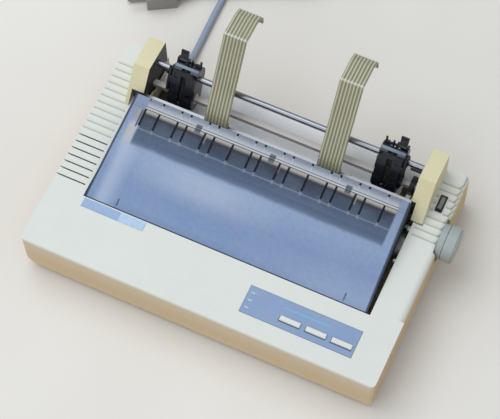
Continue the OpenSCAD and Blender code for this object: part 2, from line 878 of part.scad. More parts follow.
module platen_knob() {
    place()
        color([0.64, 0.68, 0.69])
            difference() {
                union() {
                    intersection() {
                        union() {
                            rod(knob_x, knob_x + knob_len - 1.2, platen, knob_r);
                            rod(knob_x, knob_x + knob_len, platen, knob_r - 1.2);
                        }
                        yz(knob_x - 1, knob_x + knob_len + 1)
                            translate(platen)
                                circle(r = (knob_r - 0.3) / cos(180 / knob_flats), $fn = knob_flats);
                    }
                    rod(knob_back, knob_x - 0.8, platen, knob_r - 0.6);
                    rod(knob_back, knob_x + 1, platen, knob_r - 1.8);
                }
                rod(knob_back - 1, knob_x + knob_len - 3, platen, platen_shaft_r);
            }
}

module idler_gear() {
    place()
        color([0.9, 0.89, 0.84])
            difference() {
                gear(idler, idler_teeth, idler_tooth);
                rod(gear_x - 1, gear_x + gear_w + 1, idler, stud_r + fit);
            }
}

module feed_motor() {
    place()
        color([0.5, 0.5, 0.5])
            difference() {
                union() {
                    rod(plate_x + plate_t, plate_x + plate_t + motor_len, motor_axis, motor_r);
                    yz(plate_x + plate_t, plate_x + plate_t + 1.2)
                        translate(motor_axis)
                            square([20, motor_r * 2], center = true);
                }
                rod(plate_x, plate_x + plate_t + 10, motor_axis, motor_shaft_r + fit);
            }
}

module feed_pinion() {
    place()
        color([0.86, 0.75, 0.45]) {
            gear(motor_axis, pinion_teeth, pinion_tooth);
            rod(gear_x, plate_x + plate_t + 9, motor_axis, motor_shaft_r);
        }
}

// ---------- paper path ----------
module chute_section() {
    pts = [for (k = [0:12])
        let (a = chute_arc[0] + (chute_arc[1] - chute_arc[0]) * k / 12)
        platen + chute_r * [cos(a), sin(a)]];
    low = [for (k = [12:-1:0])
        let (a = chute_arc[0] + (chute_arc[1] - chute_arc[0]) * k / 12)
        platen + (chute_r + chute_t) * [cos(a), sin(a)]];
    polygon(concat(pts, [[platen[0] + 32, platen[1] - 7.5], [platen[0] + 47, platen[1] - 3], chute_rear,
        chute_rear - [0, chute_t], [platen[0] + 47.3, platen[1] - 3 - chute_t],
        [platen[0] + 32.2, platen[1] - 7.5 - chute_t]], low));
}

module paper_chute() {
    place()
        color([0.9, 0.9, 0.86]) {
            yz(-platen_half, platen_half)
                chute_section();
            intersection() {
                yz(-plate_x, plate_x)
                    chute_section();
                block([-plate_x, plate_rear - 9, 0], [plate_x, plate_rear, deck_h]);
            }
        }
}

module bail_frame() {
    along = atan2(bail_axis[1] - bail_pivot[1], bail_axis[0] - bail_pivot[0]);
    place()
        color([0.72, 0.72, 0.7]) {
            rod(-bail_arm_x - bail_arm_t, bail_arm_x + bail_arm_t, bail_axis, bail_r);
            each_side() {
                rod(bail_arm_x, plate_x + plate_t - 0.3, bail_pivot, bail_pin_r);
                yz(bail_arm_x, bail_arm_x + bail_arm_t) {
                    translate(bail_pivot)
                        circle(4);
                    translate(bail_axis)
                        circle(3.4);
                    translate(bail_pivot)
                        rotate(along)
                            translate([0, -2.6])
                                square([norm(bail_axis - bail_pivot), 5.2]);
                }
            }
        }
}

module bail_rollers() {
    place()
        color([0.2, 0.2, 0.2])
            for (x = bail_roller_x)
                difference() {
                    rod(x - bail_roller_w / 2, x + bail_roller_w / 2, bail_axis, bail_roller_r);
                    rod(x - bail_roller_w, x + bail_roller_w, bail_axis, bail_r + fit);
                }
}

// ---------- tractor unit ----------
module cap_outline(inset) {
    offset(delta = -inset)
        polygon([[cap_foot_y, deck_h], cap_ridge, cap_rear, [cap_rear[0], deck_h],
            [cap_rear[0], deck_h - inset * 4], [cap_foot_y, deck_h - inset * 4]]);
}

module end_cap(notch_w) {
    x0 = cap_inner;
    x1 = cap_inner + cap_w;
    difference() {
        union() {
            difference() {
                yz(x0, x1)
                    cap_outline(0);
                yz(x0 + cap_t, x1 - cap_t)
                    cap_outline(cap_t);
                block([x0 - 1, 0, 0], [x0 + notch_w, notch_y, cap_ridge[1]]);
            }
            intersection() {
                yz(x0, x1)
                    cap_outline(0);
                union() {
                    block([x0, notch_y, 0], [x0 + notch_w + cap_t, notch_y + cap_t, 100]);
                    block([x0 + notch_w, 0, 0], [x0 + notch_w + cap_t, notch_y + cap_t, 100]);
                }
            }
            block([x0, notch_y, cap_low], [x0 + cap_t, rear_wall_y - wall - 0.5, deck_h + 1]);
            rod(x0, shaft_end, square_axis, bearing[0]);
            rod(x0, shaft_end + 1.5, round_axis, bearing[0]);
        }
        rod(x0 - 1, shaft_end + 1, square_axis, journal_r + fit);
        rod(x0 - 1, shaft_end, round_axis, round_shaft_r);
        block([x0 - 1, rail[0] - fit, rail[1] - fit],
            [x0 + cap_t + 1, rail[0] + rail_size[0] + fit, rail[1] + rail_size[1] + fit]);
    }
}

module end_cap_left() {
    place()
        color([0.87, 0.84, 0.68])
            mirror([1, 0, 0])
                end_cap(notch_left);
}

module end_cap_right() {
    place()
        color([0.87, 0.84, 0.68])
            end_cap(notch_right);
}

module round_shaft() {
    place()
        color([0.8, 0.81, 0.82])
            rod(-shaft_end, shaft_end, round_axis, round_shaft_r);
}

module square_shaft() {
    place()
        color([0.72, 0.73, 0.74]) {
            rod(-shaft_end + 0.5, shaft_end - 0.5, square_axis, journal_r);
            yz(-cap_inner + 0.5, cap_inner - 0.5)
                translate(square_axis)
                    square([square_w, square_w], center = true);
        }
}

module tractor_gear() {
    place()
        color([0.12, 0.12, 0.13])
            difference() {
                gear(square_axis, tractor_teeth, tractor_tooth);
                yz(gear_x - 1, gear_x + gear_w + 1)
                    translate(square_axis)
                        square([square_w, square_w], center = true);
            }
}

// Local frame of a tractor: x outward, y up the line of the shafts, z out in front
module on_tractor(side) {
    mirror([side < 0 ? 1 : 0, 0, 0])
        translate([side < 0 ? tractor_left_x : tractor_right_x, round_axis[0], round_axis[1]])
            rotate([tilt, 0, 0])
                children();
}

module up_rod(u0, u1, at, r) {
    translate([at[0], u0, at[1]])
        rotate([-90, 0, 0])
            cylinder(r = r, h = u1 - u0);
}

module cheek_shape() {
    intersection() {
        union() {
            circle(cheek_r);
            translate([-shaft_gap, 0])
                circle(cheek_r);
            translate([-shaft_gap, -cheek_r])
                square([shaft_gap, 2 * cheek_r]);
        }
        translate([-100, -100])
            square([200, 100 + paper_h]);
    }
}

module tractor_frame() {
    half = tractor_w / 2;
    difference() {
        union() {
            yz(channel, half)
                cheek_shape();
            yz(-half, -channel)
                cheek_shape();
            yz(-channel - 1, channel + 1) {
                circle(drum_r);
                translate([-shaft_gap + drum_r + 0.6, -drum_r + 0.6])
                    square([shaft_gap - drum_r, 2 * drum_r - 1.2]);
            }
            for (u = [[door_u[0], knuckle_u[0] - gap], [knuckle_u[1] + gap, door_u[1]]]) {
                up_rod(u[0], u[1], door_axis, knuckle_r);
                block([half - 1, u[0], door_axis[1] - 6], [door_axis[0], u[1], door_axis[1] - 1]);
            }
            for (s = [-1, 1])
                block([lever_x + s * (lever_w / 2 + gap + 1) - 1, cheek_r - 3, -2.4],
                    [lever_x + s * (lever_w / 2 + gap + 1) + 1, lever_u + 2.4, 2.4]);
            block([-half + 1.5, cheek_r - 3, -1.5], [-half + 6.5, cheek_r + 3, 1.5]);
            block([half - 2, guard_u[0], paper_h - 3], [half, guard_u[1], door_h + door_t]);
            difference() {
                translate([0, 0, door_h])
                    linear_extrude(door_t)
                        polygon([[-half + 5, guard_u[0]], [half, guard_u[0]], [half, guard_u[1]],
                            [-half, guard_u[1]], [-half, guard_u[0] + 6]]);
                block([-pin_r - 1, guard_u[0] + guard_lip, door_h - 1],
                    [pin_r + 1, guard_u[1] + 1, door_h + door_t + 1]);
            }
        }
        rod(-half - 1, half + 1, [0, 0], round_shaft_r + fit);
        rod(-half - 1, half + 1, [-shaft_gap, 0], hub_r + fit);
        up_rod(door_u[0] - 1, door_u[1] + 1, door_axis, door_pin_r + fit);
        rod(lever_x - lever_w, lever_x + lever_w, [lever_u, 0], lever_pin_r + fit);
    }
}

module tractor_door() {
    half = tractor_w / 2;
    difference() {
        union() {
            translate([0, 0, door_h])
                linear_extrude(door_t)
                    polygon([[-half + 8, door_u[0]], [half - 0.6, door_u[0]], [half - 0.6, door_u[1]],
                        [-half + 5, door_u[1]], [-half, door_u[1] - 6], [-half, door_u[0] + 8]]);
            block([half - 1, knuckle_u[0], door_h], [door_axis[0], knuckle_u[1], door_h + 1.8]);
            up_rod(knuckle_u[0], knuckle_u[1], door_axis, knuckle_r);
            up_rod(door_u[0] + 1, door_u[1] - 1, door_axis, door_pin_r);
        }
        block([-pin_r - 1, door_u[0] - 1, door_h - 1], [pin_r + 1, door_u[1] - 5, door_h + door_t + 1]);
        for (u = [door_u[0] + 6, door_u[1] - 6])
            block([6, u - 3, door_h + door_t - 0.8], [half - 3, u + 3, door_h + door_t + 1]);
    }
}

module tractor_lever() {
    rod(lever_x - lever_w / 2, lever_x + lever_w / 2, [lever_u, 0], lever_hub_r);
    rod(lever_x - lever_w / 2 - gap - 1.6, lever_x + lever_w / 2 + gap + 1.6, [lever_u, 0], lever_pin_r);
    yz(lever_x - lever_w / 2, lever_x + lever_w / 2)
        polygon([[lever_u, -1.4], [lever_u + 11, -1.4], [lever_u + 12, 0], [lever_u + 11.4, 2.6],
            [lever_u + 9.4, 1.4], [lever_u, 1.4]]);
}

module sprocket() {
    half = tractor_w / 2;
    difference() {
        union() {
            rod(-belt_w / 2, belt_w / 2, [-shaft_gap, 0], drum_r);
            rod(-half, half, [-shaft_gap, 0], hub_r);
        }
        yz(-half - 1, half + 1)
            translate([-shaft_gap, 0])
                rotate(-tilt)
                    square([square_w + 0.4, square_w + 0.4], center = true);
        for (k = [0:3])
            yz(-pin_r - 1, pin_r + 1)
                translate([-shaft_gap, 0])
                    rotate(k * 90 + 20)
                        translate([drum_r - 1, -1.4])
                            square([2, 2.8]);
    }
}

// Distance along the belt turned into the angle of its outward direction and its place
function belt_at(s) = let (arc = PI * belt_r)
    s < shaft_gap ? [0, -shaft_gap + s, belt_r]
    : s < shaft_gap + arc ? let (a = (s - shaft_gap) / arc * 180) [a, belt_r * sin(a), belt_r * cos(a)]
    : s < 2 * shaft_gap + arc ? [180, -(s - shaft_gap - arc), -belt_r]
    : let (a = 180 + (s - 2 * shaft_gap - arc) / arc * 180)
        [a, -shaft_gap + belt_r * sin(a), belt_r * cos(a)];

module belt_ring(r) {
    circle(r);
    translate([-shaft_gap, 0])
        circle(r);
    translate([-shaft_gap, -r])
        square([shaft_gap, 2 * r]);
}

module pin_belt() {
    yz(-belt_w / 2, belt_w / 2)
        difference() {
            belt_ring(belt_r + belt_t / 2);
            belt_ring(belt_r - belt_t / 2);
        }
    for (k = [0:belt_pins - 1])
        let (p = belt_at(5.8 + k * pin_pitch))
        translate([0, p[1], p[2]])
            rotate([-p[0], 0, 0])
                cylinder(r1 = pin_r, r2 = pin_r * 0.6, h = belt_t / 2 + pin_h, $fn = 20);
}

module tractor_frame_left() {
    place()
        color([0.07, 0.07, 0.08])
            on_tractor(-1)
                tractor_frame();
}

module tractor_door_left() {
    place()
        color([0.09, 0.09, 0.1])
            on_tractor(-1)
                tractor_door();
}

module tractor_lever_left() {
    place()
        color([0.1, 0.1, 0.11])
            on_tractor(-1)
                tractor_lever();
}

module sprocket_left() {
    place()
        color([0.85, 0.85, 0.82])
            on_tractor(-1)
                sprocket();
}

module pin_belt_left() {
    place()
        color([0.25, 0.25, 0.26])
            on_tractor(-1)
                pin_belt();
}

module tractor_frame_right() {
    place()
        color([0.07, 0.07, 0.08])
            on_tractor(1)
                tractor_frame();
}

module tractor_door_right() {
    place()
        color([0.09, 0.09, 0.1])
            on_tractor(1)
                tractor_door();
}

module tractor_lever_right() {
    place()
        color([0.1, 0.1, 0.11])
            on_tractor(1)
                tractor_lever();
}

module sprocket_right() {
    place()
        color([0.85, 0.85, 0.82])
            on_tractor(1)
                sprocket();
}

module pin_belt_right() {
    place()
        color([0.25, 0.25, 0.26])
            on_tractor(1)
                pin_belt();
}

// ---------- guide rail and paper arms ----------
module guide_rail() {
    place()
        color([0.8, 0.81, 0.8])
            block([-cap_inner - cap_t, rail[0], rail[1]],
                [cap_inner + cap_t, rail[0] + rail_size[0], rail[1] + rail_size[1]]);
}

// A strip of even thickness along a list of points
module strip(points, t) {
    for (i = [0:len(points) - 2])
        let (d = points[i + 1] - points[i])
        translate(points[i])
            rotate(atan2(d[1], d[0]))
                translate([0, -t / 2])
                    square([norm(d), t]);
    for (p = points)
        translate(p)
            circle(t / 2, $fn = 24);
}

module paper_arm(x) {
    shelf = [arm_bend, arm_shelf, arm_curl, arm_tip, [arm_tip[0], arm_end_z]];
    up = (arm_bend - arm_start) / norm(arm_bend - arm_start);
    translate([x, 0, 0])
        difference() {
            union() {
                yz(-arm_w / 2, arm_w / 2)
                    strip(concat([arm_start], shelf), arm_t);
                block([-arm_w / 2, rail[0] - 1.3, rail[1] - 1.6],
                    [arm_w / 2, rail[0] + rail_size[0] + 1.6, rail[1] + rail_size[1] + 4.4]);
                for (k = [0:arm_ribs - 1])
                    yz(-arm_w / 2 + (k + 0.5) * arm_w / arm_ribs - 0.8,
                        -arm_w / 2 + (k + 0.5) * arm_w / arm_ribs + 0.8)
                        for (run = [[[arm_start + 8 * up, arm_bend], [-0.848, 0.53]],
                            [[arm_bend, arm_shelf, arm_curl], [0.2, 0.98]]])
                            translate(rib_high * run[1])
                                strip(run[0], arm_t);
            }
            block([-arm_w, rail[0], rail[1]], [arm_w, rail[0] + rail_size[0], rail[1] + rail_size[1]]);
            block([-arm_w, rail[0] + 0.7, rail[1] - 5], [arm_w, rail[0] + rail_size[0] - 0.7, rail[1] + 1]);
        }
}

module paper_arm_left() {
    place()
        color([0.78, 0.79, 0.7])
            paper_arm(arm_left_x);
}

module paper_arm_right() {
    place()
        color([0.78, 0.79, 0.7])
            paper_arm(arm_right_x);
}

// ---------- carriage ----------
module carriage_shaft() {
    place()
        color([0.76, 0.77, 0.78])
            rod(-plate_x - plate_t, plate_x + plate_t, guide, guide_r);
}

module carriage() {
    place()
        color([0.2, 0.2, 0.21])
            translate([-carriage_park, 0, 0])
                difference() {
                    union() {
                        block([-carriage_half, guide[0] - 8, guide[1] - 8],
                            [carriage_half, guide[0] + 8, table_z + 1]);
                        block([-carriage_half, beam_y - 8, table_z],
                            [carriage_half, guide[0] + 12, table_z + table_t]);
                        block([-carriage_half + 2, beam_y - 3.6, table_z - 7],
                            [carriage_half - 2, beam_y - 0.6, table_z + 1]);
                        block([-6, strap_y + strap_r - 1.8, strap_z[0] - 1.4], [6, beam_y - 3, table_z + 1]);
                    }
                    rod(-carriage_half - 1, carriage_half + 1, guide, guide_r + fit);
                    block([-7, strap_y + strap_r - 0.4, strap_z[0] - 0.6],
                        [7, strap_y + strap_r + strap_t + 0.4, strap_z[1] + 0.6]);
                    block([-carriage_half + 5, guide[0] - 4, guide[1] - 9],
                        [carriage_half - 5, guide[0] + 4, guide[1] - 6.4]);
                }
}

module print_head() {
    y0 = guide[0] - 2;
    z0 = table_z + table_t;
    nose = platen[0] - platen_r - 0.6;
    place()
        color([0.3, 0.3, 0.32])
            translate([-carriage_park, 0, 0]) {
                difference() {
                    block([-13, y0, z0], [13, y0 + 20, z0 + 14]);
                    for (k = [0:4])
                        block([-14, y0 + 2 + k * 3.6, z0 + 3], [14, y0 + 4 + k * 3.6, z0 + 15]);
                    block([-9, y0 - 1, z0 + 12], [9, y0 + 21, z0 + 15]);
                }
                block([-9, y0 + 1, z0], [9, y0 + 19, z0 + 12]);
                yz(-6, 6)
                    polygon([[y0 + 18, platen[1] - 3.6], [nose, platen[1] - 2.4], [nose, platen[1] + 2.4],
                        [y0 + 18, z0 + 10]]);
            }
}

module ribbon_cartridge() {
    z0 = table_z + table_t;
    place()
        color([0.12, 0.12, 0.13])
            translate([-carriage_park, 0, 0])
                difference() {
                    union() {
                        block([-cartridge_half, beam_y - 7, z0], [cartridge_half, guide[0] + 4, z0 + 11]);
                        for (s = [-1, 1])
                            block([s > 0 ? 23 : -cartridge_half, guide[0], z0 + 3],
                                [s > 0 ? cartridge_half : -23, guide[0] + 17.5, z0 + 9]);
                        translate([-20, beam_y + 3, z0 + 10])
                            cylinder(r = 4.5, h = 3);
                    }
                    block([-14.5, guide[0] - 3.5, z0 - 1], [14.5, guide[0] + 30, z0 + 20]);
                    translate([-20, beam_y + 3, z0 + 12])
                        cylinder(r = 2, h = 5);
                    block([-8, beam_y - 5, z0 + 10.2], [cartridge_half - 3, beam_y + 10, z0 + 12]);
                }
}

module strap_ring(r) {
    translate([-strap_x, strap_y - r])
        square([2 * strap_x, 2 * r]);
    for (s = [-1, 1])
        translate([s * strap_x, strap_y])
            circle(r);
}

module carriage_belt() {
    place()
        color([0.1, 0.1, 0.1])
            translate([0, 0, strap_z[0]])
                linear_extrude(strap_z[1] - strap_z[0])
                    difference() {
                        strap_ring(strap_r + strap_t);
                        strap_ring(strap_r);
                    }
}

module toothed_pulley() {
    difference() {
        cylinder(r = strap_r - 0.15, h = strap_z[1] - strap_z[0]);
        for (k = [0:13])
            rotate(k * 360 / 14)
                translate([strap_r - 0.9, -0.6, -1])
                    cube([1, 1.2, 20]);
    }
}

module drive_pulley() {
    place()
        color([0.86, 0.84, 0.76])
            translate([-strap_x, strap_y, 0]) {
                translate([0, 0, strap_z[0]])
                    toothed_pulley();
                translate([0, 0, bracket_z - 8])
                    cylinder(r = motor_shaft_r, h = strap_z[1] - bracket_z + 9);
            }
}

module idler_pulley() {
    place()
        color([0.86, 0.84, 0.76])
            translate([strap_x, strap_y, strap_z[0]])
                difference() {
                    toothed_pulley();
                    translate([0, 0, -1])
                        cylinder(r = stud_r + fit, h = 20);
                }
}

module carriage_motor() {
    place()
        color([0.5, 0.5, 0.5])
            translate([-strap_x, strap_y, 0])
                difference() {
                    translate([0, 0, floor_z + 0.5])
                        cylinder(r = drive_r, h = bracket_z - 1.6 - floor_z - 0.5);
                    translate([0, 0, floor_z + 5])
                        cylinder(r = motor_shaft_r + fit, h = 30);
                }
}

// ---------- electrics ----------
module circuit_boards() {
    top = board_z + board_t;
    place()
        color([0.16, 0.4, 0.26]) {
            block([board_low[0], board_low[1], board_z], [board_high[0], board_high[1], top]);
            block([panel_corner[0] + 1, panel_corner[1] + 2, key_board_z],
                [panel_corner[0] + panel_w - 2, panel_corner[1] + panel_d - 4, key_board_z + board_t]);
            for (k = [0:3])
                block([-100 + k * 38, board_low[1] + 12, top - 0.1],
                    [-72 + k * 38, board_low[1] + 26, top + 3]);
            for (k = [0:5])
                translate([-104 + k * 14, 62, top - 0.1])
                    cylinder(r = 4, h = 11, $fn = 24);
            block([6, board_high[1] - 20, top - 0.1], [50, board_high[1] - 14, top + 7]);
            for (x = button_x)
                block([x - 3, button_y - 3, key_board_z + board_t - 0.1],
                    [x + 3, button_y + 3, deck_under - 5.4]);
        }
}

module transformer() {
    at = [transformer_at[0], transformer_at[1], floor_z];
    place()
        color([0.45, 0.43, 0.4]) {
            block(at + [0, 10, 0],
                at + [transformer_size[0], transformer_size[1] - 10, transformer_size[2]]);
            block(at + [3, 0, 7],
                at + [transformer_size[0] - 3, transformer_size[1], transformer_size[2] - 7]);
        }
}

module power_switch() {
    low = [switch_at[0], switch_at[1]];
    high = low + switch_box;
    wall_in = 1.05;
    place()
        color([0.1, 0.1, 0.11])
            difference() {
                union() {
                    block([low[0] + 0.05, low[1] + 0.05, deck_h - 17],
                        [high[0] - 0.05, high[1] - 0.05, deck_h + 0.5]);
                    block([low[0] - switch_rim[0], low[1] - switch_rim[0], deck_h],
                        [high[0] + switch_rim[0], high[1] + switch_rim[0], deck_h + switch_rim[1]]);
                }
                block([low[0] + wall_in, low[1] + wall_in, deck_h - 15.5],
                    [high[0] - wall_in, high[1] - wall_in, deck_h + 5]);
                rod(low[0] - 0.5, high[0] + 0.5, rocker_axis, rocker_pin_r + fit);
            }
}

module power_rocker() {
    low = switch_at[0] + 1.3;
    high = switch_at[0] + switch_box[0] - 1.3;
    place()
        color([0.4, 0.4, 0.41]) {
            yz(low, high)
                translate(rocker_axis)
                    rotate(-rocker_tilt)
                        polygon([[-6.9, 3.6], [0, 2.4], [6.9, 3.6], [6.2, 0], [2.6, -5], [-2.6, -5],
                            [-6.2, 0]]);
            rod(switch_at[0] + 0.3, switch_at[0] + switch_box[0] - 0.3, rocker_axis, rocker_pin_r);
        }
}

module interface_socket() {
    y0 = rear_wall_y - wall;
    place()
        color([0.3, 0.3, 0.32])
            difference() {
                union() {
                    block([socket_x - socket_w / 2 + 0.2, y0 - 9, socket_z[0] + 0.2],
                        [socket_x + socket_w / 2 - 0.2, rear_wall_y + 0.6, socket_z[1] - 0.2]);
                    block([socket_x - socket_w / 2 - 2, y0 - 2, seam_z + 2 + gap],
                        [socket_x + socket_w / 2 + 2, y0, socket_z[1] + 2]);
                }
                block([socket_x - socket_w / 2 + 5, y0 - 6, socket_z[0] + 3],
                    [socket_x + socket_w / 2 - 5, rear_wall_y + 2, socket_z[1] - 3]);
            }
}

// ---------- mains lead ----------
module strain_relief() {
    y0 = rear_wall_y - wall;
    place()
        color([0.2, 0.2, 0.21])
            translate([gland[0], y0 - 3, gland[1]])
                rotate([-90, 0, 0])
                    difference() {
                        union() {
                            intersection() {
                                cylinder(r = seat_r, h = 3);
                                translate([-20, -20, -1])
                                    cube([40, 20 + gland[1] - floor_z - gap, 5]);
                            }
                            cylinder(r = lead_r + 1.9, h = 3 + wall + 0.4);
                            translate([0, 0, 3 + wall])
                                cylinder(r = lead_r + 3.4, h = 2);
                            translate([0, 0, 3 + wall])
                                cylinder(r1 = lead_r + 2.6, r2 = lead_r + 0.9, h = gland_len);
                        }
                        translate([0, 0, -1])
                            cylinder(r = lead_r, h = gland_len + 10);
                    }
}

function unit(v) = v / norm(v);
function heading(p, i) = unit(p[min(i + 1, len(p) - 1)] - p[max(i - 1, 0)]);
function ring_points(p, r, n) = [for (i = [0:len(p) - 1])
    let (t = heading(p, i))
    let (side = unit(cross(t, [0, 0, 1])))
    let (up = cross(side, t))
    for (k = [0:n - 1])
        p[i] + r * (cos(k * 360 / n) * side + sin(k * 360 / n) * up)];
function ring_faces(m, n) = concat([[for (k = [0:n - 1]) k]], [[for (k = [n - 1:-1:0]) (m - 1) * n + k]],
    [for (i = [0:m - 2]) for (k = [0:n - 1])
        [i * n + k, (i + 1) * n + k, (i + 1) * n + (k + 1) % n, i * n + (k + 1) % n]]);

module tube(p, r, n) {
    polyhedron(points = ring_points(p, r, n), faces = ring_faces(len(p), n));
}

module mains_lead() {
    place()
        color([0.5, 0.54, 0.58]) {
            tube(lead_out, lead_r, 10);
            tube(lead_back, lead_r, 10);
        }
}

module lead_coil() {
    place()
        color([0.5, 0.54, 0.58])
            translate([coil_at[0], coil_at[1], 0])
                rotate_extrude()
                    rounded_rect([coil_d / 2 - coil_bundle[0] / 2, 0],
                        [coil_d / 2 + coil_bundle[0] / 2, coil_bundle[1]], 3.4);
}

module mains_plug() {
    place()
        color([0.55, 0.57, 0.58])
            translate([plug_at[0], plug_at[1], plug_z])
                rotate(plug_turn) {
                    block([-32, -13, -plug_z], [0, 13, plug_z]);
                    rotate([0, 90, 0])
                        cylinder(r1 = 8.5, r2 = lead_r + 1, h = 20);
                    for (y = [-6.35, 6.35])
                        block([-49, y - 0.8, -1.2], [-31, y + 0.8, 5.1]);
                    translate([-52, 0, -5])
                        rotate([0, 90, 0])
                            cylinder(r = 2.4, h = 21);
                }
}

// ---------- drawing ----------
upper_casing();
lower_casing();
rubber_feet();
casing_screws();
access_cover();
control_panel();
button_1();
button_2();
button_3();
status_lamps();
badge_plates();
side_plate_left();
side_plate_right();
cross_beam();
platen_roller();
platen_shaft();
platen_gear();
platen_knob();
idler_gear();
feed_motor();
feed_pinion();
paper_chute();
bail_frame();
bail_rollers();
end_cap_left();
end_cap_right();
round_shaft();
square_shaft();
tractor_gear();
tractor_frame_left();
tractor_door_left();
tractor_lever_left();
sprocket_left();
pin_belt_left();
tractor_frame_right();
tractor_door_right();
tractor_lever_right();
sprocket_right();
pin_belt_right();
guide_rail();
paper_arm_left();
paper_arm_right();
carriage_shaft();
carriage();
print_head();
ribbon_cartridge();
carriage_belt();
drive_pulley();
idler_pulley();
carriage_motor();
circuit_boards();
transformer();
power_switch();
power_rocker();
interface_socket();
strain_relief();
mains_lead();
lead_coil();
mains_plug();
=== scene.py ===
import bmesh
import bpy
import json
import math
from mathutils import Matrix, Vector


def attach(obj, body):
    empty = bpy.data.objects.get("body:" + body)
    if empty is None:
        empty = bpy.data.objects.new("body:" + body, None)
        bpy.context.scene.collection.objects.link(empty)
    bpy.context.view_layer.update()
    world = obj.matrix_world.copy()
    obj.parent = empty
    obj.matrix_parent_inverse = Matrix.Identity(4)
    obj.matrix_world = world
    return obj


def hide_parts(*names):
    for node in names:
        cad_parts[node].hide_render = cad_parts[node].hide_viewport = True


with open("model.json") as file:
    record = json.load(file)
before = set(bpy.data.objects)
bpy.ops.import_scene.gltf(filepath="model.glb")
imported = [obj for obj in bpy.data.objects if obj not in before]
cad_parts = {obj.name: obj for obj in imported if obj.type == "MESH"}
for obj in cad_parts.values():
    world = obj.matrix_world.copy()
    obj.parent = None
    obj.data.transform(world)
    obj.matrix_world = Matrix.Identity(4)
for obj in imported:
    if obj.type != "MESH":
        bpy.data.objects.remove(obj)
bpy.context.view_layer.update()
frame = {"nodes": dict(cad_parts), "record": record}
nodes = frame["nodes"]
scene = bpy.context.scene

# part.scad is drawn in mm, with X = 0 at the middle of the opening and Y = 0 at the front wall.
# This point of the drawing is the origin of the frame, which is in metres.
OX, OY = 6.05, 137.55


def P(x, y, z):
    """A point of the drawing (mm) in the frame (m)."""
    return Vector(((x - OX) / 1000, (y - OY) / 1000, z / 1000))


# ---------------------------------------------------------------- camera
PHOTO_WIDTH, FOCAL_LENGTH = 500, 1851.786  # in pixels of the photo
SENSOR_WIDTH = 36
CAMERA_AZIMUTH, CAMERA_ELEVATION = math.radians(26.744), math.radians(64.722)
CAMERA_ROLL = -0.0378009
CAMERA_AIM, CAMERA_DISTANCE = P(-3.184, 130.794, 30), 1.826988


def make_camera():
    az, el = CAMERA_AZIMUTH, CAMERA_ELEVATION
    back = Vector((math.cos(el) * math.sin(az), -math.cos(el) * math.cos(az), math.sin(el)))
    right = Vector((math.cos(az), math.sin(az), 0))
    up = back.cross(right)
    cos_roll, sin_roll = math.cos(CAMERA_ROLL), math.sin(CAMERA_ROLL)
    rolled_right = right * cos_roll + up * sin_roll
    rolled_up = -right * sin_roll + up * cos_roll
    cam = bpy.data.cameras.new("photo_camera")
    cam.sensor_width = SENSOR_WIDTH
    cam.sensor_fit = "HORIZONTAL"
    cam.lens = FOCAL_LENGTH / PHOTO_WIDTH * SENSOR_WIDTH
    cam.clip_start, cam.clip_end = 0.05, 20
    ob = bpy.data.objects.new("photo_camera", cam)
    place = Matrix((rolled_right, rolled_up, back)).transposed().to_4x4()
    place.translation = CAMERA_AIM + back * CAMERA_DISTANCE
    ob.matrix_world = place
    scene.collection.objects.link(ob)
    scene.camera = ob


make_camera()


# ---------------------------------------------------------------- shader tools
def linear(c):
    return c / 12.92 if c <= 0.04045 else ((c + 0.055) / 1.055) ** 2.4


def rgb(r, g, b):
    """An sRGB colour, 0 to 255 each, as the linear values that a shader takes."""
    return (linear(r / 255), linear(g / 255), linear(b / 255), 1)


def shade(c, k):
    """A colour made lighter or darker k times."""
    return (min(c[0] * k, 1), min(c[1] * k, 1), min(c[2] * k, 1), 1)


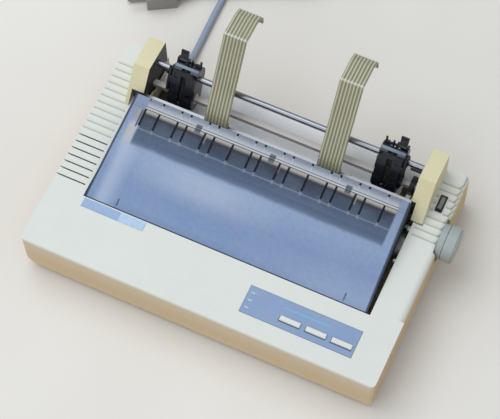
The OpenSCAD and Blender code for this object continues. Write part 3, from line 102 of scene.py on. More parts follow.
class Material:
    """A node material, with one short call for each kind of node used here."""

    def __init__(self, name):
        self.data = bpy.data.materials.new(name)
        self.data.use_nodes = True
        self.tree = self.data.node_tree
        self.bsdf = self.tree.nodes["Principled BSDF"]
        self.coord = self.new("ShaderNodeTexCoord").outputs["Object"]

    def new(self, kind, **props):
        n = self.tree.nodes.new(kind)
        for k, v in props.items():
            setattr(n, k, v)
        return n

    def feed(self, socket, value):
        """Write a number or colour into a socket, or link a node's output to it."""
        if isinstance(value, (int, float, tuple)):
            socket.default_value = value
        else:
            self.tree.links.new(value, socket)

    def set(self, name, value):
        self.feed(self.bsdf.inputs[name], value)

    def noise(self, scale, detail=3, rough=0.55, vector=None):
        n = self.new("ShaderNodeTexNoise")
        n.inputs["Scale"].default_value = scale
        n.inputs["Detail"].default_value = detail
        n.inputs["Roughness"].default_value = rough
        self.feed(n.inputs["Vector"], vector if vector is not None else self.coord)
        return n.outputs["Fac"]

    def ramp(self, fac, stops):
        """A colour ramp; the first and last stop are the two that it starts with."""
        n = self.new("ShaderNodeValToRGB")
        ends = n.color_ramp.elements
        ends[0].position, ends[0].color = stops[0]
        ends[1].position, ends[1].color = stops[-1]
        for position, colour in stops[1:-1]:
            ends.new(position).color = colour
        self.feed(n.inputs["Fac"], fac)
        return n.outputs["Color"]

    def remap(self, value, a, b, lo, hi):
        """From lo at a to hi at b, and level beyond them."""
        n = self.new("ShaderNodeMapRange")
        n.inputs["From Min"].default_value = a
        n.inputs["From Max"].default_value = b
        n.inputs["To Min"].default_value = lo
        n.inputs["To Max"].default_value = hi
        self.feed(n.inputs["Value"], value)
        return n.outputs["Result"]

    def math(self, op, *values):
        n = self.new("ShaderNodeMath", operation=op)
        for socket, value in zip(n.inputs, values):
            self.feed(socket, value)
        return n.outputs[0]

    def both(self, mask, *others):
        for other in others:
            mask = self.math("MULTIPLY", mask, other)
        return mask

    def either(self, mask, *others):
        for other in others:
            mask = self.math("MAXIMUM", mask, other)
        return mask

    def away(self, value, centre):
        """Distance of a value from a centre, on either side."""
        return self.math("ABSOLUTE", self.math("SUBTRACT", value, centre))

    def band(self, value, lo, hi, rise=0.15, fall=None):
        """1 between lo and hi, with a soft edge of its own width at each end."""
        fall = rise if fall is None else fall
        return self.both(self.remap(value, lo - rise, lo, 0, 1),
                         self.remap(value, hi, hi + fall, 1, 0))

    def mix(self, fac, a, b):
        n = self.new("ShaderNodeMix", data_type="RGBA")
        for key, value in (("Factor", fac), ("A", a), ("B", b)):
            self.feed([i for i in n.inputs if i.name == key and i.enabled][0], value)
        return [o for o in n.outputs if o.enabled][0]

    def bump(self, height, strength, distance):
        n = self.new("ShaderNodeBump")
        n.inputs["Strength"].default_value = strength
        n.inputs["Distance"].default_value = distance
        self.feed(n.inputs["Height"], height)
        self.set("Normal", n.outputs["Normal"])

    def split(self, vector):
        n = self.new("ShaderNodeSeparateXYZ")
        self.feed(n.inputs[0], vector)
        return n.outputs

    def place(self):
        """x, y and z of the point in the drawing, in mm."""
        return [self.math("MULTIPLY_ADD", metres, 1000, start)
                for metres, start in zip(self.split(self.coord), (OX, OY, 0))]

    def sideways(self):
        """1 where the surface faces left or right, 0 where it faces up, down, front or back."""
        normal = self.new("ShaderNodeNewGeometry").outputs["True Normal"]
        return self.math("ABSOLUTE", self.split(normal)[0])


# ---------------------------------------------------------------- plain finishes
# Scales of the noises, per metre
CLOUD, SPECK, MOULD_GRAIN = 14, 420, 2600
RUBBER_CLOUD, RUBBER_GRAIN = 60, 1800
STEEL_CLOUD = 22


def plastic(name, col, rough, grain=MOULD_GRAIN, grain_strength=0.12, mottle=0.05, spec=0.4):
    """Moulded plastic: a fine spark-eroded grain, faint clouding and darker specks."""
    m = Material(name)
    cloud = m.noise(CLOUD, 4)
    c = m.ramp(cloud, [(0.25, shade(col, 1 - mottle)), (0.75, shade(col, 1 + mottle * 0.6))])
    c = m.mix(m.remap(m.noise(SPECK, 2), 0.45, 0.75, 0, 0.10), c, shade(col, 0.8))
    m.set("Base Color", c)
    m.set("Roughness", m.remap(cloud, 0.3, 0.7, rough - 0.05, rough + 0.06))
    m.set("Specular IOR Level", spec)
    if grain_strength:
        m.bump(m.noise(grain, 2, 0.6), grain_strength, 0.0003)
    return m.data


def rubber(name, col, rough):
    """Matt black rubber: a cloudy grey bloom over a fine grain."""
    m = Material(name)
    cloud = m.noise(RUBBER_CLOUD, 4)
    m.set("Base Color", m.ramp(cloud, [(0.3, shade(col, 0.8)), (0.7, shade(col, 1.25))]))
    m.set("Roughness", m.remap(cloud, 0.3, 0.7, rough - 0.08, rough + 0.08))
    m.set("Specular IOR Level", 0.3)
    m.bump(m.noise(RUBBER_GRAIN, 2), 0.2, 0.0002)
    return m.data


def steel(name, col, rough, scratch=260, strength=0.03, metallic=1.0):
    """Ground or drawn metal: fine lines along X over faint clouding."""
    m = Material(name)
    stretch = m.new("ShaderNodeMapping")
    stretch.inputs["Scale"].default_value = (12, scratch, scratch)
    m.feed(stretch.inputs["Vector"], m.coord)
    lines = m.noise(3, 3, 0.6, stretch.outputs["Vector"])
    c = m.ramp(lines, [(0.3, shade(col, 0.86)), (0.7, shade(col, 1.06))])
    c = m.mix(m.remap(m.noise(STEEL_CLOUD, 3), 0.35, 0.8, 0, 0.35), c, shade(col, 0.8))
    m.set("Base Color", c)
    m.set("Metallic", metallic)
    m.set("Roughness", m.remap(lines, 0.2, 0.8, rough - 0.06, rough + 0.08))
    m.bump(lines, strength, 0.0002)
    return m.data


# Each finish has its maker, then its colour, its roughness and what else sets it apart.
FINISHES = {
    "base_tan": (plastic, (218, 205, 174), 0.58, {}),
    "frame_cream": (plastic, (205, 198, 176), 0.42, {"mottle": 0.07}),
    "chute_white": (plastic, (248, 251, 255), 0.48, {"mottle": 0.02}),
    "button_white": (plastic, (222, 226, 222), 0.42, {"grain_strength": 0.05}),
    "knob_grey": (plastic, (160, 172, 172), 0.34, {"spec": 0.55}),
    "black_plastic": (plastic, (38, 39, 41), 0.45, {"mottle": 0.15}),
    "tractor_black": (plastic, (22, 25, 34), 0.3,
                      {"grain_strength": 0.03, "mottle": 0.3, "spec": 0.6}),
    # pale blue grey that paints a sheen on the flat bar of each black tractor
    "tractor_sheen": (plastic, (112, 126, 150), 0.3,
                      {"grain_strength": 0.03, "mottle": 0.12, "spec": 0.5}),
    "head_black": (plastic, (44, 45, 48), 0.4, {"mottle": 0.15}),
    "rocker_grey": (plastic, (124, 127, 124), 0.35, {"grain_strength": 0.05}),
    "gear_white": (plastic, (222, 218, 202), 0.4, {"grain_strength": 0.04}),
    "lead_grey": (plastic, (144, 160, 182), 0.5, {"grain": 900}),
    "plug_grey": (plastic, (150, 158, 164), 0.5, {"grain": 900}),
    "board_green": (plastic, (46, 96, 66), 0.35, {"mottle": 0.15}),
    "lamp_green": (plastic, (176, 196, 214), 0.22, {"grain_strength": 0.0}),
    "black_rubber": (rubber, (42, 42, 43), 0.7, {}),
    "platen_rubber": (rubber, (36, 36, 38), 0.6, {}),
    "belt_rubber": (rubber, (34, 34, 35), 0.65, {}),
    "bright_steel": (steel, (150, 153, 158), 0.26, {}),
    "chromed_shaft": (steel, (150, 154, 164), 0.24, {"scratch": 40, "strength": 0.0}),
    "plated_steel": (steel, (158, 158, 154), 0.42, {}),
    "zinc_screw": (steel, (180, 182, 178), 0.32, {}),
    "satin_steel": (steel, (196, 192, 190), 0.45, {"scratch": 500, "metallic": 0.4}),
    "core_steel": (steel, (92, 88, 82), 0.5, {"metallic": 0.5}),
    "brass_pinion": (steel, (214, 184, 116), 0.3, {}),
}
M = {name: make(name, rgb(*colour), rough, **more)
     for name, (make, colour, rough, more) in FINISHES.items()}


# ---------------------------------------------------------------- smoked lid
# Places on the lid are in the drawing, in mm.
RIB_X = [-132, -117, -97, -87, -67, -57, -37, -17, -7, 13, 23, 43, 63, 73, 93, 103, 123]
BAIL_WHEEL_X = (-75.5, 3.6, 84.4)
TICK_X = ((-118.3, -117.1), (122.4, 123.6))
BEND_LINE_Y = ((167.6, 168.2), (170.2, 170.7))
LID_FRONT_Y, LID_BACK_Y = 67, 179.2
LID_MIDDLE_X = -1.2
LID_HALF_WIDTH_FRONT, LID_HALF_WIDTH_BACK = 149.8, 146.6
WINDOW_X, WINDOW_FRONT_Y = (-131, 135), (129, 133)


def lid_frost(m, x, y, cloud):
    """Frosted skin: blue grey with a fine grain, paler where haze or a wall shows through."""
    c = m.ramp(m.remap(y, 66, 140, 0, 1), [
        (0.0, rgb(118, 140, 177)), (0.12, rgb(128, 153, 192)), (0.45, rgb(126, 149, 189)),
        (0.78, rgb(144, 166, 200)), (1.0, rgb(142, 162, 194))])
    c = m.mix(m.remap(cloud, 0.35, 0.72, 0, 0.42), c, rgb(150, 170, 200))
    c = m.mix(m.remap(m.noise(260, 3, 0.7), 0.35, 0.7, 0, 0.22), c, rgb(96, 114, 150))
    c = m.mix(m.remap(y, 140, 170, 0, 0.8), c, rgb(132, 148, 174))
    haze = m.both(m.remap(m.away(x, -45), 20, 85, 0.42, 0), m.band(y, 108, 120, 16),
                  m.remap(cloud, 0.3, 0.7, 0.7, 1.0))
    corner = m.both(m.remap(x, 40, 110, 0, 0.2), m.remap(y, 75, 100, 1, 0))
    wall = m.both(m.band(x, -137, -133, 7, 14), m.remap(y, 150, 158, 1, 0), 0.6)
    bracket = m.both(m.band(x, -140, -135, 3), m.band(y, 136, 149, 10, 4), 0.6)
    slit = m.both(m.band(x, -138.4, -136, 1.6), m.band(y, 156.5, 164, 3), 0.8)
    slot_end = m.both(m.band(x, -135.2, -133.8, 0.4), m.band(y, 149, 165, 2), 0.8)
    for mask, colour in ((haze, rgb(196, 206, 222)), (corner, rgb(190, 204, 226)),
                         (wall, rgb(180, 196, 218)), (bracket, rgb(196, 190, 178)),
                         (slit, rgb(170, 158, 142)), (slot_end, rgb(44, 52, 70))):
        c = m.mix(mask, c, colour)
    return c


def lid_window(m, y, patch):
    """Clear window: guide, platen, beige paper slot, then the rear strip, palest behind the bend
    and darkening towards the rear edge as painted light and shade.
    """
    c = m.ramp(m.remap(y, 130, 178, 0, 1), [
        (0.0, rgb(116, 137, 168)), (0.14, rgb(90, 111, 142)), (0.36, rgb(80, 100, 130)),
        (0.44, rgb(66, 82, 106)), (0.58, rgb(56, 68, 88)), (0.68, rgb(44, 53, 70)),
        (0.70, rgb(100, 100, 104)), (0.73, rgb(164, 160, 152)), (0.79, rgb(186, 184, 180)),
        # the rear strip: painted light just behind the bend, then painted shade darkening to the
        # rear edge
        (0.85, rgb(196, 200, 206)), (0.90, rgb(168, 176, 188)), (0.97, rgb(116, 128, 148)),
        (1.0, rgb(110, 122, 142))])
    # paler patches over the dark platen
    platen_patches = m.both(m.band(y, 140, 160, 2), m.remap(patch, 0.40, 0.70, 0, 0.5))
    return m.mix(platen_patches, c, rgb(108, 124, 150))


def smoked_lid():
    """Smoked lid: frosted skin, clear window, dark ribs under it with painted glints, a double
    line of painted shade at the bend with a painted highlight between, and painted shade along its
    edges.
    """
    m = Material("smoked_cover")
    x, y, _ = m.place()
    cloud, patch = m.noise(9, 4), m.noise(38, 4)
    side = m.band(x, *WINDOW_X, 2)
    ragged = m.math("ADD", y, m.remap(patch, 0.3, 0.7, -0.8, 0.8))
    inner = m.both(m.remap(ragged, *WINDOW_FRONT_Y, 0, 1), side)
    c = m.mix(inner, lid_frost(m, x, y, cloud), lid_window(m, y, patch))

    # each rib has a painted glint at its foot in front, a dark run, a painted glint behind the
    # bend and a dark end
    near = None
    for rib_x in RIB_X:
        d = m.away(x, rib_x)
        near = d if near is None else m.math("MINIMUM", near, d)
    rib = m.both(m.remap(near, 0.9, 1.3, 1, 0), m.band(y, 150, 167.4))
    rib_foot_glint = m.both(m.remap(near, 0.4, 2.0, 1, 0), m.band(y, 146.6, 150, 1), 0.35)
    rib_glint_behind = m.both(m.remap(near, 0.2, 0.5, 1, 0), m.band(y, 170.8, 176.6), side, 0.8)
    rib_end = m.both(m.remap(near, 0.9, 1.2, 1, 0), m.remap(y, 176.6, 176.8, 0, 1), side)
    guide_line = m.both(m.band(y, 147.4, 147.9, 0.3), side, 0.42)
    # pale: the painted glints of the ribs and the guide line seen through
    pale = m.either(rib_foot_glint, guide_line, rib_glint_behind)
    # painted light over the rear strip behind the bend
    rear_strip_light = m.both(m.remap(y, 170.8, 171.6, 0, 0.28), side, m.remap(patch, 0.3, 0.7, 0.6, 1))
    # painted highlight between the two lines at the bend
    bend_line_highlight = m.both(m.band(y, 168.3, 170.1), side, 0.8)

    # the bend is two fine dark lines of painted shade, and two short ticks stand near the front
    # edge
    bend = m.both(m.either(*(m.band(y, *line) for line in BEND_LINE_Y)),
                  m.remap(side, 0, 1, 0.25, 0.9))
    ticks = m.both(m.either(*(m.band(x, *tick, 0.5) for tick in TICK_X)),
                   m.band(y, 69, 76.5), 0.6)
    # painted shade along the lid's edges, and on faces that turn sideways, which also darkens the
    # walls of the dark ribs
    half_width = m.remap(y, LID_FRONT_Y, LID_BACK_Y, LID_HALF_WIDTH_FRONT, LID_HALF_WIDTH_BACK)
    to_edge = m.math("SUBTRACT", half_width, m.away(x, LID_MIDDLE_X))
    edges = m.either(m.remap(m.sideways(), 0.75, 0.95, 0, 0.9),
                     m.remap(to_edge, 1.6, 2.6, 0.8, 0),
                     m.remap(y, 66.7, 67.3, 0.85, 0))
    # dark: real ticks and ribs, with the painted shade of the bend lines and the edges
    dark = m.either(bend, ticks, edges, rib, rib_end)

    # bail wheels and their guides, seen through the window
    wheels = m.both(m.either(*(m.band(x, k - 2.9, k + 2.9, 0.4) for k in BAIL_WHEEL_X)),
                    m.band(y, 165.2, 172.8, 0.5), 0.8)
    guides = m.both(m.either(*(m.band(x, k + 8.4, k + 11, 0.5) for k in BAIL_WHEEL_X)),
                    m.band(y, 158, 164, 0.8), 0.6)
    for mask, colour in ((pale, rgb(196, 206, 222)), (rear_strip_light, rgb(190, 196, 204)),
                         (bend_line_highlight, rgb(198, 204, 214)), (wheels, rgb(54, 66, 88)),
                         (guides, rgb(176, 168, 150)), (dark, rgb(18, 22, 34))):
        c = m.mix(mask, c, colour)
    m.set("Base Color", c)
    m.set("Alpha", m.either(m.both(m.remap(y, 163.2, 164.8, 0, 0.84), side),
                            m.remap(inner, 0, 1, 0.93, 0.62), m.both(dark, 0.96), pale))
    m.set("Roughness", m.either(m.remap(inner, 0, 1, 0.42, 0.22), m.remap(dark, 0, 0.8, 0, 0.7)))
    m.set("Specular IOR Level", 0.2)
    m.bump(m.noise(1500, 2), 0.03, 0.0002)
    return m.data


# ---------------------------------------------------------------- other special finishes
def casing_plastic():
    """Pale cream casing: fine grain, soft yellowing, painted shade in the ridges, and a painted
    warm tan shade low down and on the sides.
    """
    m = Material("casing_cream")
    x, y, z = m.place()
    cloud = m.noise(7, 5)
    c = m.ramp(cloud, [(0.28, rgb(216, 221, 215)), (0.72, rgb(222, 226, 221))])
    c = m.mix(m.remap(m.noise(60, 4), 0.45, 0.8, 0, 0.12), c, rgb(208, 206, 190))
    # painted shade in the foot of each saw ridge on the two side strips
    strips = m.either(m.both(m.remap(x, -150, -149.5, 1, 0), m.remap(y, 68, 69, 0, 1)),
                      m.both(m.remap(x, 153, 153.5, 0, 1), m.remap(y, 156, 157, 0, 1)))
    foot = m.either(m.remap(z, 55.8, 56.2, 0.7, 0), m.remap(z, 55.8, 56.7, 0.18, 0))
    ridge_shade = m.both(foot, strips, m.remap(z, 54.8, 55.2, 0, 1))
    # painted shadow in the joint before the right end cap
    cap_joint_shadow = m.both(m.band(y, 172.2, 174.2, 0.6), m.band(x, 147.6, 161.2, 0.6, 1.0), 0.8)
    for mask, colour in ((ridge_shade, rgb(150, 146, 118)),
                         # painted warm tan shade, stronger lower down the casing
                         (m.remap(z, 50.5, 54.5, 0.50, 0), rgb(214, 193, 148)),
                         (m.remap(z, 28, 52, 0.36, 0), rgb(204, 180, 134)),
                         (cap_joint_shadow, rgb(84, 74, 54)),
                         # painted warm shade on the faces that turn left or right
                         (m.remap(m.sideways(), 0.80, 0.97, 0, 0.45), rgb(200, 176, 132))):
        c = m.mix(mask, c, colour)
    m.set("Base Color", c)
    m.set("Roughness", m.remap(cloud, 0.3, 0.7, 0.46, 0.56))
    m.set("Specular IOR Level", 0.4)
    m.bump(m.noise(MOULD_GRAIN, 2, 0.6), 0.14, 0.0003)
    return m.data


def cap_plastic(name, hand, notch_x):
    """Yellowed end cap with the dark face of its bearing plate inside, and the same dark grey
    painted in its notch as shadow.
    """
    m = Material(name)
    x, y, _ = m.place()
    outward = m.math("MULTIPLY", x, hand)
    cloud = m.noise(CLOUD, 4)
    cream = m.ramp(cloud, [(0.25, rgb(216, 209, 170)), (0.75, rgb(224, 219, 184))])
    cream = m.mix(m.remap(m.noise(SPECK, 2), 0.45, 0.75, 0, 0.12), cream, rgb(196, 184, 140))
    plate_and_notch_shadow = m.ramp(m.noise(90, 4), [(0.3, rgb(44, 44, 44)), (0.75, rgb(78, 78, 76))])
    inside = m.remap(outward, 143.52, 143.62, 1, 0)
    # the notch is painted with that dark grey as shadow
    notch = m.both(m.remap(y, 185.06, 185.12, 1, 0),
                   m.remap(outward, notch_x, notch_x + 0.3, 1, 0))
    m.set("Base Color", m.mix(m.either(inside, notch), cream, plate_and_notch_shadow))
    m.set("Roughness", m.remap(cloud, 0.3, 0.7, 0.42, 0.54))
    m.set("Specular IOR Level", 0.4)
    m.bump(m.noise(MOULD_GRAIN, 2, 0.6), 0.12, 0.0003)
    return m.data


ARM_WIDTH, ARM_RIBS, ARM_BEND_Y = 24, 7, 237


def ribbed_arm(name, centre_x):
    """Paper arm: pale ribs, olive grooves between them and a painted highlight on the crease at
    the bend.
    """
    m = Material(name)
    x, y, _ = m.place()
    along = m.math("DIVIDE", m.math("ADD", x, ARM_WIDTH / 2 - centre_x), ARM_WIDTH / ARM_RIBS)
    off_crest = m.away(m.math("FRACT", along), 0.5)
    cloud = m.noise(30, 4)
    crest = m.ramp(cloud, [(0.3, rgb(180, 181, 162)), (0.7, rgb(192, 193, 176))])
    groove = m.ramp(cloud, [(0.3, rgb(142, 140, 104)), (0.7, rgb(156, 154, 120))])
    c = m.mix(m.remap(off_crest, 0.16, 0.30, 0, 1), crest, groove)
    # painted highlight along the crease at the bend
    arm_bend_highlight = m.both(m.band(y, ARM_BEND_Y - 0.2, ARM_BEND_Y + 0.8, 1.0, 1.4), 0.6)
    m.set("Base Color", m.mix(arm_bend_highlight, c, rgb(222, 224, 220)))
    m.set("Roughness", m.remap(cloud, 0.3, 0.7, 0.30, 0.40))
    m.set("Specular IOR Level", 0.5)
    m.bump(m.remap(off_crest, 0.18, 0.32, 1, 0), 0.6, 0.0004)
    return m.data


BADGE_SPLIT_X = -109.9


def badge_metal():
    """Two bare brushed plates side by side, a mid blue one and a pale one."""
    m = Material("badge_blue")
    x, _, _ = m.place()
    cloud, brushed = m.noise(40, 4), m.noise(900, 2)
    blue = m.ramp(cloud, [(0.3, rgb(132, 159, 193)), (0.7, rgb(142, 169, 203))])
    pale = m.ramp(cloud, [(0.3, rgb(162, 185, 214)), (0.7, rgb(172, 195, 222))])
    c = m.mix(m.remap(x, BADGE_SPLIT_X, BADGE_SPLIT_X + 0.1, 0, 1), blue, pale)
    m.set("Base Color", m.mix(m.remap(brushed, 0.45, 0.7, 0, 0.12), c, rgb(90, 108, 146)))
    m.set("Metallic", 0.15)
    m.set("Roughness", m.remap(brushed, 0.3, 0.7, 0.28, 0.4))
    m.bump(brushed, 0.04, 0.0001)
    return m.data


BUTTON_X = (86.2, 113.0, 139.4)


def panel_plate():
    """Blue control panel: fine mottle, a cyan rule, a shadow round each button, a dark rim."""
    m = Material("panel_blue")
    x, y, _ = m.place()
    cloud = m.noise(30, 4)
    c = m.ramp(cloud, [(0.3, rgb(126, 152, 190)), (0.7, rgb(136, 161, 197))])
    c = m.mix(m.remap(m.noise(500, 3, 0.7), 0.4, 0.75, 0, 0.2), c, rgb(104, 128, 168))

    def box(centre_x, centre_y, half_w, half_d):
        outside = m.either(m.math("SUBTRACT", m.away(x, centre_x), half_w),
                           m.math("SUBTRACT", m.away(y, centre_y), half_d))
        return m.remap(outside, 0, 0.5, 1, 0)

    c = m.mix(m.both(box(99.5, 39.6, 23.6, 0.35), 0.7), c, rgb(96, 190, 224))
    for button_x in BUTTON_X:
        c = m.mix(m.both(box(button_x - 0.3, 27.8, 10.7, 3.0), 0.8), c, rgb(48, 56, 74))
    m.set("Base Color", m.mix(box(95, 33.25, 57.2, 14.0), rgb(92, 112, 146), c))
    m.set("Roughness", m.remap(cloud, 0.3, 0.7, 0.34, 0.42))
    m.bump(m.noise(1800, 2), 0.05, 0.0002)
    return m.data


# ---------------------------------------------------------------- dressing the CAD nodes
OWN_FINISH = {
    "access_cover": smoked_lid(),
    "upper_casing": casing_plastic(),
    "badge_plates": badge_metal(),
    "control_panel": panel_plate(),
    "end_cap_left": cap_plastic("cap_cream_left", -1, 156.3),
    "end_cap_right": cap_plastic("cap_cream_right", 1, 148.3),
    "square_shaft": M["satin_steel"],
    "paper_arm_left": ribbed_arm("arm_grey_left", -65.3),
    "paper_arm_right": ribbed_arm("arm_grey_right", 55.8),
}
CAP_ROUNDING = 0.0011
SHARP_ANGLE = math.radians(35)
slots = {s["node"]: s["material_slot"] for s in frame["record"]["subparts"]}

for name, ob in nodes.items():
    ob.data.materials.clear()
    ob.data.materials.append(OWN_FINISH[name] if name in OWN_FINISH else M[slots[name]])

for name in ("end_cap_left", "end_cap_right"):
    rounding = nodes[name].modifiers.new("edges", "BEVEL")
    rounding.width = CAP_ROUNDING
    rounding.segments = 2
    rounding.limit_method = "ANGLE"
    rounding.angle_limit = SHARP_ANGLE
    rounding.harden_normals = False
    rounding.use_clamp_overlap = True


# ---------------------------------------------------------------- mesh and curve tools
def prism(bm, at, x0, x1, outline, bevel):
    """An outline drawn out from x0 to x1, with its edges rounded off by bevel (mm)."""
    first = [bm.verts.new(at(x0, *q)) for q in outline]
    last = [bm.verts.new(at(x1, *q)) for q in outline]
    n = len(outline)
    faces = [bm.faces.new(first), bm.faces.new(last[::-1])]
    for i in range(n):
        j = (i + 1) % n
        faces.append(bm.faces.new((first[i], last[i], last[j], first[j])))
    bmesh.ops.recalc_face_normals(bm, faces=faces)
    bmesh.ops.bevel(bm, geom=list({e for f in faces for e in f.edges}), offset=bevel / 1000,
                    segments=2, profile=0.5, affect="EDGES", clamp_overlap=True)


def rounded(u0, h0, u1, h1, r):
    """A rectangle from one corner to the other, with corners of radius r."""
    steps = 3
    out = []
    for cu, ch, start in ((u1 - r, h1 - r, 0), (u0 + r, h1 - r, 90),
                          (u0 + r, h0 + r, 180), (u1 - r, h0 + r, 270)):
        for k in range(steps + 1):
            a = math.radians(start + 90 * k / steps)
            out.append((cu + r * math.cos(a), ch + r * math.sin(a)))
    return out


COLLAR_STEPS, FLUTE_DEPTH, COLLAR_EDGE = 48, 0.6, 0.5


def collar(bm, at, x0, x1, u, r_in, r_out, flutes=0):
    """A collar round a shaft at u; with flutes its rim is cut for a thumb."""
    turn = [2 * math.pi * k / COLLAR_STEPS for k in range(COLLAR_STEPS)]

    def rim(k):
        in_flute = flutes and (k * flutes * 2 // COLLAR_STEPS) % 2
        return r_out - (FLUTE_DEPTH if in_flute else 0)

    def loop(x, radii):
        return [bm.verts.new(at(x, u + r * math.cos(a), r * math.sin(a)))
                for r, a in zip(radii, turn)]

    rows = [loop(x, [rim(k) * f for k in range(COLLAR_STEPS)])
            for x, f in ((x0, 0.9), (x0 + COLLAR_EDGE, 1.0), (x1 - COLLAR_EDGE, 1.0), (x1, 0.9))]
    rows += [loop(x, [r_in] * COLLAR_STEPS) for x in (x1, x0)]
    faces = []
    for i, row in enumerate(rows):
        after = rows[(i + 1) % len(rows)]
        for k in range(COLLAR_STEPS):
            j = (k + 1) % COLLAR_STEPS
            faces.append(bm.faces.new((row[k], row[j], after[j], after[k])))
    bmesh.ops.recalc_face_normals(bm, faces=faces)


def fitting(name, bm, body, material):
    """Make a smooth-shaded piece of a bmesh, and fix it to a body."""
    me = bpy.data.meshes.new(name)
    bm.to_mesh(me)
    bm.free()
    ob = bpy.data.objects.new(name, me)
    scene.collection.objects.link(ob)
    me.materials.append(material)
    for f in me.polygons:
        f.use_smooth = True
    me.set_sharp_from_angle(angle=SHARP_ANGLE)
    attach(ob, body)


def smooth_path(points, per):
    """Catmull-Rom path through the points, with per steps from each to the next."""
    out = []
    n = len(points)
    for i in range(n - 1):
        p0, p1, p2, p3 = points[max(i - 1, 0)], points[i], points[i + 1], points[min(i + 2, n - 1)]
        for k in range(per):
            t = k / per
            out.append(0.5 * ((2 * p1) + (p2 - p0) * t
                              + (2 * p0 - 5 * p1 + 4 * p2 - p3) * t * t
                              + (3 * p1 - p0 - 3 * p2 + p3) * t ** 3))
    out.append(points[-1])
    return out


def tube(name, path, radius, resolution, material):
    """A round tube along a path, as one open spline."""
    cu = bpy.data.curves.new(name, "CURVE")
    cu.dimensions = "3D"
    spline = cu.splines.new("POLY")
    spline.points.add(len(path) - 1)
    for q, p in zip(spline.points, path):
        q.co = (*p, 1)
    cu.bevel_depth = radius
    cu.bevel_resolution = resolution
    cu.use_fill_caps = True
    cu.materials.append(material)
    ob = bpy.data.objects.new(name, cu)
    scene.collection.objects.link(ob)
    return ob


# ---------------------------------------------------------------- fittings of the tractors
# In mm: the round shaft, and how far back and up it stands from the square one; the middle
# of a tractor and the outer face of its cheek; HOOK as (u, h) and SPRING as (x, u, h), below.
ROUND_SHAFT, SHAFT_STEP = (218.0, 81.4), (11.5, 21.4)
TILT = math.atan2(SHAFT_STEP[1], SHAFT_STEP[0])
TRACTOR_X, CHEEK_FACE = 110, 13.05
BAR_REACH, BAR_ANGLE = 12.2, math.radians(50)
HOOK = [(11.0, -1.4), (17.6, -0.9), (18.8, 0.6), (18.2, 2.2),
        (17.2, 1.7), (17.4, 0.7), (16.6, 0.3), (11.0, 0.6)]
SPRING = [(14.0, -15.0, 2.5), (14.2, -13.0, 6.0), (14.6, -10.0, 7.6),
          (14.4, -7.5, 5.4), (14.2, -8.6, 2.6), (13.6, -6.2, 0.6)]
SPRING_RADIUS = 0.00045


def tractor_fittings(side):
    """Bar, clips, collars and spring of one tractor; side is -1 for left and 1 for right."""
    tag = "left" if side < 0 else "right"
    body = "tractor_" + tag

    def at(x, u, h):
        """x outward, u up the line of the two shafts, h out in front of it."""
        return P(side * (TRACTOR_X + x), ROUND_SHAFT[0] + u * math.cos(TILT) - h * math.sin(TILT),
                 ROUND_SHAFT[1] + u * math.sin(TILT) + h * math.cos(TILT))

    def on_bar(x, a, b):
        """x outward, a along the flat of the bar, b out from the round shaft."""
        c, s = math.cos(BAR_ANGLE), math.sin(BAR_ANGLE)
        return at(x, BAR_REACH * s + a * c + b * s, BAR_REACH * c - a * s + b * c)

    # flat bar across the head of the two cheeks, just behind the end of the door, its pale blue
    # grey a painted sheen
    bm = bmesh.new()
    prism(bm, on_bar, -12.6, 12.6, rounded(0.5, -0.6, 4.0, 0.9, 0.5), 0.15)
    fitting("tractor_bar_" + tag, bm, body, M["tractor_sheen"])
    # hooked clips that hold the door and the lever spring
    bm = bmesh.new()
    prism(bm, at, -3.6, -1.6, HOOK, 0.2)
    prism(bm, at, -11.8, -9.8, [(u + 0.6, h - 1.6) for u, h in HOOK], 0.2)
    prism(bm, at, -6.2, 1.0, rounded(11.2, -3.4, 13.6, -1.2, 0.5), 0.2)
    prism(bm, at, 1.6, 12.2, rounded(10.6, 2.4, 12.9, 4.6, 0.6), 0.2)
    fitting("tractor_clips_" + tag, bm, body, M["tractor_black"])
    # collars on the outer cheek, round each shaft
    bm = bmesh.new()
    collar(bm, at, CHEEK_FACE, 16.2, 0, 4.6, 6.6, flutes=12)
    collar(bm, at, CHEEK_FACE, 15.4, -math.hypot(*SHAFT_STEP), 6.4, 8.0)
    fitting("tractor_collars_" + tag, bm, body, M["tractor_black"])
    # sprung wire that keeps the door shut
    path = smooth_path([at(*p) for p in SPRING], per=6)
    spring = tube("tractor_spring_" + tag, path, SPRING_RADIUS, 3, M["bright_steel"])
    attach(spring, body)


tractor_fittings(-1)
tractor_fittings(1)


# ---------------------------------------------------------------- clips in the slit
SLIT_CLIP_Y = (128.4, 164.4)


def slit_clips():
    """Two small sprung tongues at the right edge of the opening, beside the cover."""
    bm = bmesh.new()
    for y in SLIT_CLIP_Y:
        prism(bm, P, 149.7, 152.2,
              [(y - 1.5, 53.2), (y + 1.5, 53.2), (y + 1.1, 56.0), (y - 1.1, 56.0)], 0.25)
        prism(bm, P, 149.2, 150.0,
              [(y - 0.8, 50.5), (y + 0.8, 50.5), (y + 0.6, 55.0), (y - 0.6, 55.0)], 0.15)
    fitting("slit_clips", bm, "casing", M["gear_white"])


slit_clips()


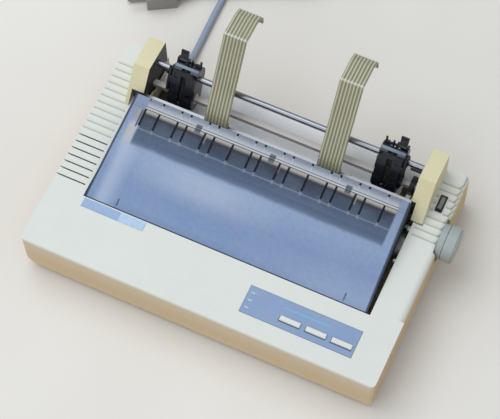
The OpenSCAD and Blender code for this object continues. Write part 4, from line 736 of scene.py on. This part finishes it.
# ---------------------------------------------------------------- mains lead
# The route of part.scad (mm): out of the back and down to the floor, the coil, then the plug.
LEAD_OUT = [(-136, 228, 13), (-136, 240, 13), (-136, 256, 12.9), (-136.1, 262, 12.3),
            (-136.2, 268, 10.6), (-136.3, 273, 8.2), (-136.4, 278, 5.9), (-136.6, 284, 4.1),
            (-136.9, 291, 3.5), (-137.4, 306, 3.5), (-138, 324, 3.5), (-138.4, 342, 3.5),
            (-138.5, 360, 3.5), (-138.5, 378, 3.5), (-138.5, 396, 3.5), (-138.5, 412, 3.5),
            (-138.5, 428, 3.5)]
LEAD_BACK = [(-80, 390.5, 9.8), (-97, 382.3, 9.3), (-114, 374.1, 9.5), (-127, 367.7, 10.2),
             (-138.5, 361.9, 10.6), (-152, 355.3, 10.3), (-167.7, 347.3, 10), (-180, 340.4, 10)]
LEAD_RADIUS, LEAD_PITCH = 3.5, 7.05
COIL_CENTRE, COIL_RADIUS = (-87.1, 444), 51.4
TURNS_IN, TURNS_UP, TURNS_OUT = 2.7, 0.28, 2.698
STEPS_PER_TURN = 16


def coil_points():
    """Two flat layers: inward on the floor, up at the inside, outward on top."""
    total = TURNS_IN + TURNS_UP + TURNS_OUT
    steps = int(total * STEPS_PER_TURN)
    inmost = COIL_RADIUS - LEAD_PITCH * TURNS_IN
    pts = []
    for i in range(steps + 1):
        t = total * i / steps
        if t < TURNS_IN:
            r, z = COIL_RADIUS - LEAD_PITCH * t, LEAD_RADIUS
        elif t < TURNS_IN + TURNS_UP:
            f = (t - TURNS_IN) / TURNS_UP
            r = inmost - 1.2 * math.sin(math.pi * f)
            z = LEAD_RADIUS + LEAD_PITCH * (3 * f * f - 2 * f ** 3)
        else:
            r, z = inmost + LEAD_PITCH * (t - TURNS_IN - TURNS_UP), LEAD_RADIUS + LEAD_PITCH
        turned = math.radians(180 - 360 * t)
        pts.append((COIL_CENTRE[0] + r * math.cos(turned),
                    COIL_CENTRE[1] + r * math.sin(turned), z))
    return pts


cord_path = smooth_path([P(*p) for p in LEAD_OUT + coil_points() + LEAD_BACK], per=4)
cord = tube("mains_lead_cord", cord_path, LEAD_RADIUS / 1000, 5, M["lead_grey"])
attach(cord, "casing")
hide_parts("mains_lead", "lead_coil")


# ---------------------------------------------------------------- floor and light
FLOOR_REACH = 3.0


def make_floor():
    """A plain pale floor; light that it throws back on the printer is warm, as from wood."""
    s = FLOOR_REACH
    me = bpy.data.meshes.new("floor")
    me.from_pydata([(-s, -s, 0), (s, -s, 0), (s, s, 0), (-s, s, 0)], [], [(0, 1, 2, 3)])
    ob = bpy.data.objects.new("floor", me)
    scene.collection.objects.link(ob)
    m = Material("floor_pale")
    pale = m.ramp(m.noise(2.5, 3), [(0.3, rgb(224, 221, 214)), (0.7, rgb(232, 230, 225))])
    rays = m.new("ShaderNodeLightPath").outputs
    seen = m.either(rays["Is Camera Ray"], rays["Is Glossy Ray"], rays["Is Transmission Ray"])
    m.set("Base Color", m.mix(seen, rgb(206, 174, 134), pale))
    m.set("Roughness", 0.6)
    m.set("Specular IOR Level", 0.25)
    me.materials.append(m.data)


def soft_light(name, place, size, power, colour):
    """A large rectangular lamp that faces the middle of the printer."""
    li = bpy.data.lights.new(name, "AREA")
    li.shape = "RECTANGLE"
    li.size, li.size_y = size
    li.energy = power
    li.color = colour
    ob = bpy.data.objects.new(name, li)
    ob.location = place
    ob.rotation_euler = Vector(place).to_track_quat("Z", "Y").to_euler()
    scene.collection.objects.link(ob)


make_floor()
soft_light("window_light", place=(-1.0, 0.25, 2.35), size=(2.3, 1.9), power=29.5,
           colour=(0.96, 0.98, 1.0))
soft_light("room_light", place=(-0.3, -1.7, 1.5), size=(2.2, 1.6), power=11,
           colour=(1.0, 0.98, 0.96))

scene.world = bpy.data.worlds.new("room")
scene.world.use_nodes = True
background = scene.world.node_tree.nodes["Background"]
background.inputs["Color"].default_value = (0.93, 0.96, 1.0, 1)
background.inputs["Strength"].default_value = 0.55

scene.view_settings.view_transform = "Standard"

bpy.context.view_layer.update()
